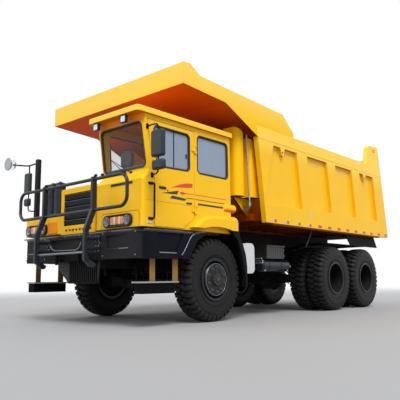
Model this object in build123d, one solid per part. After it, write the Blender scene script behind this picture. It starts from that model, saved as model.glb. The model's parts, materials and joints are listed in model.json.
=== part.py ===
"""Wide-body mining dump truck with an offset cab, a canopied body and a telescopic front hoist.

Millimetres. The origin is on the ground, on the truck's centre plane, half way along it.
+X is the truck's left (the cab side), -Y its front, +Z up. The body is down and the wheels point ahead.
"""
import os

from build123d import *

os.makedirs("parts", exist_ok=True)

# ---- running clearances and fits ----
RUN_GAP = 8.0          # between panels that move past each other
SEAT_GAP = 0.3         # between pieces of one body that bear on each other
PIN_FIT = 0.05         # radial, pins and shafts in their bores
SLEEVE_FIT = 0.6       # radial, one hoist sleeve in the next

# ---- axle layout ----
FRONT_AXLE_Y = -2310.0
WHEELBASE = 3850.0     # front axle to first drive axle
TANDEM = 1500.0        # between the two drive axles
FRONT_TRACK = 2650.0
DUAL_OUTER_X = 1519.0  # centre of the outer tyre of a pair
DUAL_PITCH = 430.0     # between the centres of a pair

# ---- tyres and rims ----
TYRE_R = 684.0
TYRE_W = 380.0
BEAD_R = 322.0
FLANGE_R = 352.0
FLANGE_T = 14.0
BEAD_IN = 22.0         # bead's face inside the tyre's widest line
RIM_WALL = 14.0

# ---- chassis frame ----
RAIL_OUT = 460.0       # outer face of a side rail
RAIL_W = 110.0
RAIL_TOP = 1380.0
RAIL_H = 360.0
RAIL_LOW = RAIL_TOP - RAIL_H
RAIL_WEB = 16.0
CAB_BEAM_H = 60.0      # beams across the rails that carry cab and hood
CAB_BEAM_HALF = 1450.0
MOUNT_R = 42.0
PAD_H = 16.0           # rubber pads under the body's long beams
TAIL_BAR_T = 60.0
REAR_OVERHANG = 840.0  # last drive axle to the frame's end

# ---- towing ----
TOW_R = 26.0
TOW_X = 300.0
TOW_Z = 1060.0
TOW_REACH = 80.0       # pin ahead of the bumper's face
HITCH_REACH = 160.0    # pin behind the frame's end
CLEVIS_T = 25.0        # a clevis plate
CLEVIS_GAP = 50.0      # between its two plates

# ---- front axle and steering ----
KINGPIN_X = 1060.0
KINGPIN_R = 36.0
EYE_R = 78.0
EYE_H = 170.0
ARM_T = 46.0           # knuckle arm above and below the axle's eye
ARM_GAP = 5.0
STUB_R = 62.0
STEER_ARM = 300.0      # kingpin to tie rod, rearwards
BALL_R = 14.0
TIE_ROD_DROP = 139.0   # tie rod below the wheels' centres
TIE_ROD_Z = TYRE_R - TIE_ROD_DROP
TIE_ROD_R = 22.0
BEAM_W = 140.0
BEAM_H = 150.0
BEAM_DROP = 60.0

# ---- drive axles ----
AXLE_TUBE_R = 95.0
SPINDLE_R = 72.0
BANJO_R = 240.0
NOSE = 330.0           # axle centre to the pinion's flange
NOSE_R = 110.0
SHAFT_R = 50.0

# ---- body (dump bed) ----
BED_HALF = 1755.0
WALL = 100.0           # side wall with its ribs
PANEL_DEPTH = 68.0     # recess of a side panel behind its ribs
INNER_X = BED_HALF - WALL
BED_BOTTOM = 1700.0
FLOOR_Z = 1760.0
FLOOR_T = 30.0
RAIL_Z = 3470.0        # top of the side's top rail
RIB_LEAN = 0.125       # rearward lean of the ribs, going down
BEAM_X = RAIL_OUT - RAIL_W / 2  # centre of a long beam under the floor, over the frame's rail
BEAM_WIDE = 130.0
FRONT_WALL_T = 60.0
HINGE_Z = 1420.0
HINGE_PIN_R = 45.0
HINGE_TUBE_R = 90.0
EAR_HALF = 55.0        # half the width of a hinge bracket
GATE_PIN_Z = 3920.0
GATE_PIN_R = 32.0
GATE_T = 110.0
GATE_INSET = 60.0      # gate's outer face inside the sides' rear edge
CANOPY_LOW = 3726.0    # underside at the canopy's front
CANOPY_TOP = 4077.0
BEND_Z = 3670.0        # underside at the canopy's bend
CANOPY_SLOPE = 0.4385
SHEET_T = 36.0

# ---- telescopic hoist ----
HOIST_BASE_Z = 1150.0
HOIST_EYE_Z = 3000.0
STAGE_R = (145.0, 126.0, 107.0, 88.0)
TRUNNION_R = 48.0
TRUNNION_END = 232.0
CRADLE_X = 215.0
CRADLE_T = 44.0
SLEEVE_TOP = 2700.0
STAGE_STEP = 40.0      # a sleeve stands this much above the one around it
STAGE_FLOOR = 24.0
HOIST_FOOT = 110.0     # barrel's end below its trunnion
CHEEK_X = 82.0         # bracket plates beside the rod's eye
CHEEK_T = 34.0
EYE_HALF = 55.0

# ---- cab and front ----
CAB_LEFT = 1520.0
CAB_RIGHT = 430.0
CAB_WALL = 60.0
CAB_FLOOR = 1460.0
CAB_KNEE = 2170.0      # top of the upright lower front
SCREEN_FOOT = 2320.0   # where the leaning screen starts
KNEE_BACK = 120.0
CAB_TOP = 3155.0
CAB_CORNER_R = 55.0
ROOF_T = 95.0
ROOF_OUT = 50.0        # roof beyond the cab's side
VISOR = 150.0          # roof ahead of the cab
SCREEN_LOW = 2370.0
SCREEN_HIGH = 3040.0
WINDOW_R = 70.0
DOOR_TOP = 3080.0
DOOR_LOW = 1475.0
DOOR_GAP = 8.0
DOOR_HINGE_OUT = 16.0  # hinge line outside the door's face
HINGE_BACK = 4.0       # hinge line behind the door's rear edge
DOOR_BARREL_R = 13.0
DOOR_PIN_R = 7.0
DOOR_HINGE_ZS = (1795.0, 2790.0)
GLASS = 8.0
GLASS_IN = 26.0        # glass inside the cab's outer face
CREASE_Z = 1850.0      # seam along the cab's side
SEAM_W = 8.0
SEAM_DEEP = 4.0
HOOD_TOP = 2220.0
HOOD_RIGHT = -512.0
HOOD_SKIN = 25.0
DECK_Z = 1800.0        # top of the deck right of the hood
DECK_T = 30.0
LIP_OUT = 120.0        # fender's lip beyond the cab's side
LIP_CURL = 60.0        # rounding of the lip's outer edge
LIP_ARCH_R = 1700.0    # flat arch of the lip's mouth
LIP_ARCH_TOP = 1540.0
LIP_CORNER_R = 110.0   # corners of the lip in side view
LIP_LOW = 1500.0
LIP_SKIN = 24.0
BUMPER_HALF = 1600.0
BUMPER_LOW = 1000.0
BUMPER_TOP = 1430.0
BUMPER_SKIN = 45.0
SHELF_T = 16.0
LOOP_R = 27.0
LOOP_HALF = 1440.0
LOOP_LOW = 1750.0
LOOP_TOP = 2225.0
POST_X = 665.0
POST_T = 50.0
POST_DEEP = 80.0
POST_FORWARD = 130.0   # lower part of a post ahead of its upper part


def aft(distance):
    """Y of a point this far behind the front axle."""
    return FRONT_AXLE_Y + distance


# ---- stations along the truck ----
DRIVE_AXLE_YS = (aft(WHEELBASE), aft(WHEELBASE + TANDEM))
TANDEM_Y = aft(WHEELBASE + TANDEM / 2)
FRAME_FRONT = aft(-1480)
FRAME_REAR = aft(WHEELBASE + TANDEM + REAR_OVERHANG)
CAB_BEAM_YS = (aft(-1430), aft(345))
PAD_YS = (aft(1600), aft(2900), aft(4100), aft(5300))
HINGE_Y = FRAME_REAR - 140
GATE_PIN_Y = FRAME_REAR - 100
BED_REAR = FRAME_REAR + 140  # the body's sides at the top of their rear edge
HOIST_Y = aft(620)
CAB_FRONT = aft(-1650)
CAB_REAR = aft(460)
DOOR_REAR = aft(-525)
CANOPY_FRONT = aft(-1017)
CANOPY_BEND = aft(40)
CANOPY_FAR = aft(1340)
BUMPER_FACE = CAB_FRONT - 120
BUMPER_CORNER = aft(-1614)
LOOP_Y = aft(-1870)
POST_LOW_Y = LOOP_Y - POST_FORWARD
LIP_Y = aft(-40)       # middle of the fender lip's mouth
HANDLE_Y = aft(-1236)  # door's pull, near its front edge


# ---- shape helpers ----
def block(x0, x1, y0, y1, z0, z1):
    """A box between two corners."""
    return Pos((x0 + x1) / 2, (y0 + y1) / 2, (z0 + z1) / 2) * Box(abs(x1 - x0), y1 - y0, z1 - z0)


def side_plate(outline, x0, x1):
    """A plate with a (y, z) outline, from x0 to x1."""
    points = [(x0, y, z) for y, z in outline]
    return extrude(make_face(Polyline(*points, close=True)), amount=x1 - x0, dir=(1, 0, 0))


def plan_plate(outline, z0, z1):
    """A plate with an (x, y) outline, from z0 to z1."""
    points = [(x, y, z0) for x, y in outline]
    return extrude(make_face(Polyline(*points, close=True)), amount=z1 - z0, dir=(0, 0, 1))


def front_plate(outline, y0, y1):
    """A plate with an (x, z) outline, from y0 to y1."""
    points = [(x, y0, z) for x, z in outline]
    return extrude(make_face(Polyline(*points, close=True)), amount=y1 - y0, dir=(0, 1, 0))


def soft_side_plate(outline, radius, x0, x1, grow=0.0):
    """A side plate whose corners are rounded, its outline first moved outwards."""
    sketch = offset(Polygon(*outline, align=None), amount=grow, kind=Kind.INTERSECTION) if grow else None
    sketch = sketch or Polygon(*outline, align=None)
    if radius:
        sketch = fillet(sketch.vertices(), radius)
    plane = Plane(origin=(x0, 0, 0), x_dir=(0, 1, 0), z_dir=(1, 0, 0))
    return extrude(plane * sketch, amount=x1 - x0, dir=(1, 0, 0))


def soft_front_plate(outline, radius, y0, y1, grow=0.0):
    """A front plate whose corners are rounded, its outline first moved outwards."""
    sketch = offset(Polygon(*outline, align=None), amount=grow, kind=Kind.INTERSECTION) if grow else None
    sketch = fillet((sketch or Polygon(*outline, align=None)).vertices(), radius)
    plane = Plane(origin=(0, y0, 0), x_dir=(1, 0, 0), z_dir=(0, -1, 0))
    return extrude(plane * sketch, amount=y1 - y0, dir=(0, 1, 0))


def rod(start, end, radius):
    """A round bar from one point to another."""
    axis = Vector(*end) - Vector(*start)
    return extrude(Plane(origin=start, z_dir=axis) * Circle(radius), amount=axis.length)


def cross_rod(x0, x1, y, z, radius):
    """A round bar along X."""
    return rod((min(x0, x1), y, z), (max(x0, x1), y, z), radius)


def upright(x, y, z0, z1, radius):
    """A round bar along Z."""
    return rod((x, y, z0), (x, y, z1), radius)


def bent_tube(points, bend, radius):
    """A round tube along straight runs with tangent bends."""
    path = FilletPolyline(*points, radius=bend)
    return sweep(Plane(origin=path @ 0, z_dir=path % 0) * Circle(radius), path=path)


def ring_about_x(profile, x, y, z):
    """A body of revolution about a line along X: its (axial, radius) profile is closed."""
    points = [(a, r, 0) for a, r in profile]
    return Pos(x, y, z) * revolve(make_face(Polyline(*points, close=True)), Axis.X)


def both(low, high):
    """Two numbers in rising order."""
    return (low, high) if low < high else (high, low)


def corner_edges(shape, x, y_limit):
    """The edges of a shape's front corners at one X."""
    return [e for e in shape.edges() if abs(e.center().X - x) < 1 and e.center().Y < y_limit
            and abs(e.bounding_box().size.Z) > 20 and e.bounding_box().size.Y < e.bounding_box().size.Z * 2]


def save(name, *solids):
    """Write one node; several solids of a node lie apart."""
    shape = solids[0] if len(solids) == 1 else Compound(children=list(solids))
    export_step(shape, f"parts/{name}.step")


# ---- wheels ----
def tyre(x, y):
    """A plain tyre ring: beads, bulging walls, rounded shoulders."""
    half = TYRE_W / 2
    bead = half - BEAD_IN
    # (axial, radius) up one wall
    wall = [(bead, BEAD_R + SEAT_GAP), (bead, FLANGE_R + 6), (half - 6, 410), (half, 470), (half, 550)]
    wall += [(half - 6, 615), (half - 20, 655), (half - 44, TYRE_R)]
    return ring_about_x([(-a, r) for a, r in wall] + [(a, r) for a, r in reversed(wall)], x, y, TYRE_R)


def rim_shell(side, x, y):
    """A rim's shell from its inner to its outer flange; side is +1 where outwards is +X."""
    seat = TYRE_W / 2 - BEAD_IN + 2
    lip = seat + FLANGE_T
    profile = [(-lip, FLANGE_R), (-seat, FLANGE_R), (-seat, BEAD_R), (seat, BEAD_R), (seat, FLANGE_R)]
    profile += [(lip, FLANGE_R), (lip, BEAD_R - RIM_WALL), (-lip, BEAD_R - RIM_WALL)]
    return ring_about_x([(a * side, r) for a, r in profile], x, y, TYRE_R)


def front_rim(side):
    """Front wheel: rim, a disc that bulges outwards, hub and cap, bored for the stub axle."""
    x = side * FRONT_TRACK / 2
    inside = BEAD_R - RIM_WALL + 6
    bore = STUB_R + PIN_FIT
    # (axial from the tyre's centre plane outwards, radius)
    outer = [(84, inside), (104, 290), (172, 266), (196, 244), (203, 112), (228, 100), (234, 0)]
    inner = [(210, 0), (210, bore), (-110, bore), (-110, 112), (120, 118), (182, 140), (178, 236), (158, 248)]
    inner += [(86, 274), (64, inside)]
    hub = ring_about_x([(a * side, r) for a, r in outer + inner], x, FRONT_AXLE_Y, TYRE_R)
    return rim_shell(side, x, FRONT_AXLE_Y) + hub


def drive_rims(side, y):
    """A pair of drive rims on one hub: the outer one is deep, its disc at the pair's middle."""
    inside = BEAD_R - RIM_WALL + 6
    shells = rim_shell(side, side * DUAL_OUTER_X, y) + rim_shell(side, side * (DUAL_OUTER_X - DUAL_PITCH), y)
    bore = SPINDLE_R + PIN_FIT
    # (axial from the pair's middle outwards, radius): discs back to back, hub and its end cap
    outer = [(58, inside), (26, 262), (26, 178), (150, 168), (176, 150), (176, 96), (204, 88), (208, 0)]
    inner = [(180, 0), (180, bore), (-230, bore), (-230, 120), (-26, 178), (-26, 262), (-58, inside)]
    middle = side * (DUAL_OUTER_X - DUAL_PITCH / 2)
    return shells + ring_about_x([(a * side, r) for a, r in outer + inner], middle, y, TYRE_R)


for side, word in ((1, "left"), (-1, "right")):
    save(f"tyre_front_{word}", tyre(side * FRONT_TRACK / 2, FRONT_AXLE_Y))
    save(f"rim_front_{word}", front_rim(side))
    for y, axle_word in zip(DRIVE_AXLE_YS, ("middle", "rear")):
        outer_tyre = tyre(side * DUAL_OUTER_X, y)
        inner_tyre = tyre(side * (DUAL_OUTER_X - DUAL_PITCH), y)
        save(f"tyres_{axle_word}_{word}", outer_tyre, inner_tyre)
        save(f"rims_{axle_word}_{word}", drive_rims(side, y))


# ---- axles, steering, suspension ----
def front_axle():
    """A dropped beam with an eye for a kingpin at each end."""
    end = KINGPIN_X - EYE_R + 10
    knee = 700
    low, high = TYRE_R - BEAM_H / 2, TYRE_R + BEAM_H / 2
    outline = [(-end, low), (-knee, low - BEAM_DROP), (knee, low - BEAM_DROP), (end, low)]
    outline += [(end, high), (knee, high - BEAM_DROP), (-knee, high - BEAM_DROP), (-end, high)]
    beam = front_plate(outline, FRONT_AXLE_Y - BEAM_W / 2, FRONT_AXLE_Y + BEAM_W / 2)
    for x in (-KINGPIN_X, KINGPIN_X):
        beam += upright(x, FRONT_AXLE_Y, TYRE_R - EYE_H / 2, TYRE_R + EYE_H / 2, EYE_R)
        beam -= upright(x, FRONT_AXLE_Y, TYRE_R - EYE_H, TYRE_R + EYE_H, KINGPIN_R + PIN_FIT)
    return beam


def knuckle(side):
    """Two arms on a kingpin, a web outside the axle's eye, the stub axle and the steering arm."""
    x, y = side * KINGPIN_X, FRONT_AXLE_Y
    low = TYRE_R - EYE_H / 2 - ARM_GAP - ARM_T
    high = TYRE_R + EYE_H / 2 + ARM_GAP + ARM_T
    web_in = KINGPIN_X + EYE_R + RUN_GAP
    web_out = web_in + 40
    body = upright(x, y, low + 2, high - 2, KINGPIN_R)
    for z in (low, high - ARM_T):
        body += block(side * (KINGPIN_X - 60), side * web_out, y - 55, y + 55, z, z + ARM_T)
    body += block(side * web_in, side * web_out, y - 90, y + 90, low, high)
    body += cross_rod(side * web_in, side * (FRONT_TRACK / 2 + 196), y, TYRE_R, STUB_R)
    arm_z = TIE_ROD_Z + TIE_ROD_R
    tip = y + STEER_ARM + 34
    body += plan_plate([(x - 46, y), (x - 30, tip), (x + 30, tip), (x + 46, y)], arm_z, arm_z + 24)
    return body + upright(x, y + STEER_ARM, TIE_ROD_Z - 24, arm_z, BALL_R)


def tie_rod():
    """A bar between the steering arms with an eye at each end; the right eye has open play."""
    y = FRONT_AXLE_Y + STEER_ARM
    eye_r, eye_half, open_play = 40, 20, 2
    bar = cross_rod(34 - KINGPIN_X, KINGPIN_X - 34, y, TIE_ROD_Z, TIE_ROD_R)
    for x, play in ((KINGPIN_X, PIN_FIT), (-KINGPIN_X, open_play)):
        bar += upright(x, y, TIE_ROD_Z - eye_half, TIE_ROD_Z + eye_half, eye_r)
        bar -= upright(x, y, TIE_ROD_Z - eye_r, TIE_ROD_Z + eye_r, BALL_R + play)
    return bar


def drive_axle(y):
    """A housing with a round middle, tubes, spindles and the pinion's nose."""
    tube, middle = 820, 150
    spindle = DUAL_OUTER_X - DUAL_PITCH / 2 + 170
    housing = cross_rod(-tube, tube, y, TYRE_R, AXLE_TUBE_R) + cross_rod(-middle, middle, y, TYRE_R, BANJO_R)
    housing += rod((0, y - NOSE, TYRE_R), (0, y, TYRE_R), NOSE_R)
    return housing + cross_rod(-spindle, spindle, y, TYRE_R, SPINDLE_R)


save("axles", front_axle(), *[drive_axle(y) for y in DRIVE_AXLE_YS])
for side, word in ((1, "left"), (-1, "right")):
    save(f"knuckle_{word}", knuckle(side))
save("tie_rod", tie_rod())


def front_spring(side):
    """A stepped leaf pack between two hangers under the rail, clamped on the axle."""
    middle = side * (RAIL_OUT - RAIL_W / 2)
    leaf_half, leaf_t, reach, hanger_at = 50, 15.3, 760, 740
    seat = TYRE_R + BEAM_H / 2 - BEAM_DROP
    pack = []
    for index in range(6):
        half, top = reach - index * 105, seat + (6 - index) * leaf_t
        pack.append(block(middle - leaf_half, middle + leaf_half, aft(-half), aft(half), top - leaf_t, top))
    for at in (aft(-hanger_at), aft(hanger_at)):
        hanger = [(at - 60, RAIL_LOW), (at + 60, RAIL_LOW), (at + 34, seat + 60), (at - 34, seat + 60)]
        pack.append(side_plate(hanger, middle - leaf_half + 10, middle + leaf_half - 10))
    return pack[0].fuse(*pack[1:])


def drive_spring(side):
    """A leaf pack over both drive axles, its saddle on a bracket from the frame."""
    x0, x1 = side * 620 - 60, side * 620 + 60
    top = TYRE_R + AXLE_TUBE_R
    half, saddle, leaf_t = TANDEM / 2 + 90, 120, 25
    pack = [block(x0, x1, TANDEM_Y - half, TANDEM_Y + half, top + SEAT_GAP, top + 26)]
    for index in range(1, 6):
        reach = half - index * 110
        low = top + 1 + index * leaf_t
        pack.append(block(x0, x1, TANDEM_Y - reach, TANDEM_Y + reach, low, low + leaf_t))
    bracket = [(TANDEM_Y - 260, RAIL_TOP - 60), (TANDEM_Y + 260, RAIL_TOP - 60)]
    bracket += [(TANDEM_Y + saddle, top + 140), (TANDEM_Y - saddle, top + 140)]
    pack.append(side_plate(bracket, *both(side * RAIL_OUT, side * 560)))
    pack.append(block(side * 500, side * 680, TANDEM_Y - saddle, TANDEM_Y + saddle, top + 140, top + 220))
    return pack[0].fuse(*pack[1:])


save("springs", front_spring(1), front_spring(-1), drive_spring(1), drive_spring(-1))


# ---- chassis frame ----
def side_rail(side):
    """A channel open towards the middle."""
    inner = side * (RAIL_OUT - RAIL_W)
    rail = block(side * RAIL_OUT, inner, FRAME_FRONT, FRAME_REAR, RAIL_LOW, RAIL_TOP)
    return rail - block(inner, side * (RAIL_OUT - RAIL_WEB), FRAME_FRONT + 40, FRAME_REAR - 40,
                        RAIL_LOW + RAIL_WEB, RAIL_TOP - RAIL_WEB)


def chassis_frame():
    """Two channel rails, cross members, the hoist's cradle and the rear hinge brackets."""
    frame = side_rail(1) + side_rail(-1)
    inner = RAIL_OUT - RAIL_WEB + 1
    # (centre y, length along y, bottom z, top z) of each cross member
    members = (
        (FRAME_FRONT + 60, 120, RAIL_LOW, RAIL_TOP),
        (HOIST_Y - 260, 120, RAIL_LOW + 20, RAIL_TOP - 20),
        (HOIST_Y + 380, 120, RAIL_LOW + 20, RAIL_TOP - 20),
        (TANDEM_Y - 900, 140, RAIL_LOW + 20, RAIL_TOP - 20),
        (TANDEM_Y, 300, RAIL_LOW + 20, RAIL_TOP - 20),
        (HINGE_Y - 140, 120, RAIL_LOW, RAIL_TOP - 120),
    )
    for y, length, low, high in members:
        frame += block(-inner, inner, y - length / 2, y + length / 2, low, high)
    for side in (-1, 1):
        cradle = [(HOIST_Y - 230, RAIL_LOW + 20), (HOIST_Y + 330, RAIL_LOW + 20), (HOIST_Y + 330, HOIST_BASE_Z + 60)]
        cradle += [(HOIST_Y + 80, RAIL_TOP), (HOIST_Y - 80, RAIL_TOP), (HOIST_Y - 230, HOIST_BASE_Z + 60)]
        middle = side * CRADLE_X
        frame += side_plate(cradle, middle - CRADLE_T / 2, middle + CRADLE_T / 2)
        ear = [(HINGE_Y - 170, RAIL_TOP), (HINGE_Y + 130, RAIL_TOP), (HINGE_Y + 80, HINGE_Z + 78)]
        ear += [(HINGE_Y - 80, HINGE_Z + 78)]
        frame += side_plate(ear, side * BEAM_X - EAR_HALF, side * BEAM_X + EAR_HALF)
        for y in PAD_YS:
            frame += block(side * BEAM_X - 50, side * BEAM_X + 50, y - 100, y + 100, RAIL_TOP, RAIL_TOP + PAD_H)
    for y in CAB_BEAM_YS:
        frame += block(-CAB_BEAM_HALF, CAB_BEAM_HALF, y - 36, y + 36, RAIL_TOP, RAIL_TOP + CAB_BEAM_H)
        for x in (580, 1380):
            frame += upright(x, y, RAIL_TOP + CAB_BEAM_H, CAB_FLOOR - SEAT_GAP, MOUNT_R)
    frame -= cross_rod(-RAIL_OUT, RAIL_OUT, HOIST_Y, HOIST_BASE_Z, TRUNNION_R + PIN_FIT)
    pin_end = BEAM_X + 75
    return frame + cross_rod(-pin_end, pin_end, HINGE_Y, HINGE_Z, HINGE_PIN_R)


save("chassis_frame", chassis_frame())

ENGINE_REAR = aft(290)
GEARBOX_REAR = aft(1250)
engine_half = RAIL_OUT - RAIL_WEB - SEAT_GAP
engine = block(-320, 320, aft(-1080), ENGINE_REAR, 900, 1880)
for y in (aft(-800), aft(60)):
    engine += block(-engine_half, engine_half, y - 60, y + 60, 1150, 1230)
gearbox_top = HOIST_BASE_Z - HOIST_FOOT - 90
gearbox = block(-175, 175, ENGINE_REAR + SEAT_GAP, GEARBOX_REAR, TYRE_R - 90, gearbox_top)
save("engine_and_gearbox", engine, gearbox)
shafts = []
for start, end in ((GEARBOX_REAR, DRIVE_AXLE_YS[0] - NOSE), (DRIVE_AXLE_YS[0] + BANJO_R, DRIVE_AXLE_YS[1] - NOSE)):
    shafts.append(rod((0, start + SEAT_GAP, TYRE_R), (0, end - SEAT_GAP, TYRE_R), SHAFT_R))
save("drive_shafts", *shafts)


# ---- hoist ----
def hoist_stage(index):
    """One tube of the telescope, open at the top, or the solid rod in the middle."""
    low = HOIST_BASE_Z - HOIST_FOOT + STAGE_FLOOR * index
    high = SLEEVE_TOP + STAGE_STEP * index
    stage = upright(0, HOIST_Y, low, high, STAGE_R[index])
    if index == 0:
        stage += cross_rod(-TRUNNION_END, TRUNNION_END, HOIST_Y, HOIST_BASE_Z, TRUNNION_R)
    if index == len(STAGE_R) - 1:
        stage += upright(0, HOIST_Y, high, HOIST_EYE_Z, STAGE_R[index] - 28)
        return stage + cross_rod(-EYE_HALF, EYE_HALF, HOIST_Y, HOIST_EYE_Z, STAGE_R[index])
    return stage - upright(0, HOIST_Y, low + STAGE_FLOOR - 4, high + 10, STAGE_R[index + 1] + SLEEVE_FIT)


for index, name in enumerate(("hoist_barrel", "hoist_stage_1", "hoist_stage_2", "hoist_rod")):
    save(name, hoist_stage(index))


# ---- body ----
def rear_edge(z, inset=0.0):
    """Where the sides' leaning rear edge is at a height."""
    return BED_REAR + (4010 - z) * 0.1515 - inset


def front_edge(z):
    """Where the sides' leaning front edge is at a height."""
    return aft(970) + (3230 - z) * 0.1275


def wall_front_y(z):
    """Front face of the body's front wall, which leans the same way."""
    return aft(1020) + (RAIL_Z - z) * 0.158


def canopy_low(y):
    """Height of the canopy's underside behind its bend."""
    return BEND_Z - (y - CANOPY_BEND) * CANOPY_SLOPE


# (front, rear) of each side panel at its top, behind the front axle
PANELS = ((1470, 2310), (2710, 3550), (3940, 4750), (5160, 5940))
PANEL_TOP = 3180.0
PANEL_LOW = 2080.0
HOOK_YS = (aft(1785), aft(5450))


def bed_side(side):
    """A side wall: flush frame of rails, posts and leaning ribs round four recessed panels."""
    outline = [(front_edge(BED_BOTTOM), BED_BOTTOM), (front_edge(RAIL_Z), RAIL_Z), (BED_REAR - 720, RAIL_Z)]
    outline += [(BED_REAR - 600, 3905), (BED_REAR - 480, 3985), (BED_REAR, 4010), (rear_edge(BED_BOTTOM), BED_BOTTOM)]
    outer = side * BED_HALF
    wall = side_plate(outline, *both(side * INNER_X, outer))
    recess = both(outer, side * (BED_HALF - PANEL_DEPTH))
    for index, (front, rear) in enumerate(PANELS):
        low = PANEL_LOW - (40 if index == 0 else 0)
        drop = (PANEL_TOP - low) * RIB_LEAN
        foot = aft(front - 340) if index == 0 else aft(front + drop)
        wall -= side_plate([(aft(front), PANEL_TOP), (aft(rear), PANEL_TOP), (aft(rear + drop), low), (foot, low)],
                           *recess)
    for y in HOOK_YS:
        hook = [(y - 90, PANEL_TOP + 30), (y + 90, PANEL_TOP + 30), (y + 60, PANEL_TOP - 50)]
        hook += [(y + 30, PANEL_TOP - 150), (y - 30, PANEL_TOP - 150), (y - 60, PANEL_TOP - 50)]
        wall += side_plate(hook, *both(side * (BED_HALF - PANEL_DEPTH - 1), outer))
        wall -= cross_rod(side * (BED_HALF - 40), outer, y, PANEL_TOP - 90, 24)
    seam = [(front_edge(3240), 3240), (front_edge(3232), 3232), (rear_edge(3232), 3232), (rear_edge(3240), 3240)]
    wall -= side_plate(seam, *both(outer, side * (BED_HALF - SEAM_DEEP)))
    return wall + cross_rod(side * (INNER_X - 52), side * (BED_HALF - 20), GATE_PIN_Y, GATE_PIN_Z, GATE_PIN_R)


save("bed_sides", bed_side(1), bed_side(-1))


def bed_floor():
    """Floor plate on cross ribs and two long beams, with the hinge tube behind."""
    floor_front = wall_front_y(FLOOR_Z) + FRONT_WALL_T
    floor_rear = rear_edge(FLOOR_Z, GATE_T + GATE_INSET + RUN_GAP)
    floor = block(-INNER_X, INNER_X, floor_front, floor_rear, FLOOR_Z, FLOOR_Z + FLOOR_T)
    rib, pitch, first = 90, 460, aft(1480)
    for index in range(1 + int((floor_rear - rib - first) / pitch)):
        y = first + index * pitch
        floor += block(-INNER_X, INNER_X, y, y + rib, BED_BOTTOM, FLOOR_Z)
    beam_low = RAIL_TOP + PAD_H + SEAT_GAP
    for side in (-1, 1):
        middle = side * BEAM_X
        floor += block(middle - BEAM_WIDE / 2, middle + BEAM_WIDE / 2, floor_front, HINGE_Y - 190, beam_low, FLOOR_Z)
        web = [(HINGE_Y - 75, HINGE_Z), (HINGE_Y + 75, HINGE_Z), (HINGE_Y + 160, FLOOR_Z), (HINGE_Y - 360, FLOOR_Z)]
        floor += side_plate(web, side * 260 - 30, side * 260 + 30)
    tube_half = BEAM_X - EAR_HALF - RUN_GAP
    floor += cross_rod(-tube_half, tube_half, HINGE_Y, HINGE_Z, HINGE_TUBE_R)
    return floor - cross_rod(-BEAM_X, BEAM_X, HINGE_Y, HINGE_Z, HINGE_PIN_R + PIN_FIT)


save("bed_floor", bed_floor())

COLUMN_IN = 1240.0
COLUMN_OUT = 1550.0
COLUMN_LOW = 2160.0


def bed_front_wall():
    """The wall behind the cab: plate, cross ribs, rounded columns at both sides and the hoist's bracket."""
    lean = [(wall_front_y(FLOOR_Z), FLOOR_Z), (wall_front_y(RAIL_Z), RAIL_Z)]
    behind = [(aft(2000), RAIL_Z), (aft(2000), FLOOR_Z)]
    wall = side_plate(lean + [(y + FRONT_WALL_T, z) for y, z in reversed(lean)], -INNER_X, INNER_X)
    rib_in, rib_out, rib_half = 160, COLUMN_IN, 45
    for z in (2250, 2550, 2850, 3110):
        for x0, x1 in ((-rib_out, -rib_in), (rib_in, rib_out)):
            wall += block(x0, x1, wall_front_y(z) - 50, wall_front_y(z) + 20, z - rib_half, z + rib_half)
    # (front, rear, outer x, corner radius) of the columns beside the wall and the web between them
    columns = ((600, 860, COLUMN_OUT, 110), (850, 960, COLUMN_OUT - 150, 0), (950, 1400, COLUMN_OUT + 20, 90))
    for side in (-1, 1):
        for front, rear, out, radius in columns:
            top = canopy_low(aft(front)) - 1
            outline = [(aft(front), COLUMN_LOW), (aft(front), top), (aft(rear), canopy_low(aft(rear)) - 1),
                       (aft(rear), COLUMN_LOW)]
            column = side_plate(outline, *both(side * COLUMN_IN, side * out))
            if radius:
                edges = [e for e in column.edges().filter_by(Axis.Z) if abs(e.center().X - side * out) < 1]
                column = fillet([e for e in edges if e.center().Y < aft(front + 10) or front < 700], radius)
            wall += column - side_plate(lean + behind, -BED_HALF, BED_HALF)
        cheek = [(HOIST_Y - 40, HOIST_EYE_Z - 105), (wall_front_y(2740) + 10, 2740)]
        cheek += [(wall_front_y(3190) + 10, 3190), (HOIST_Y - 40, HOIST_EYE_Z + 105)]
        wall += side_plate(cheek, side * CHEEK_X - CHEEK_T / 2, side * CHEEK_X + CHEEK_T / 2)
        gusset = [(aft(760), COLUMN_LOW + 1), (wall_front_y(1900) + 10, COLUMN_LOW + 1)]
        gusset += [(wall_front_y(1790) + 10, 1790), (aft(1130), 1850)]
        wall += side_plate(gusset, *both(side * 1300, side * 1330))
    sill = wall_front_y(FLOOR_Z)
    return wall + block(-1420, 1420, sill - 120, sill + 10, FLOOR_Z, FLOOR_Z + 130)


save("bed_front_wall", bed_front_wall())


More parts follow.
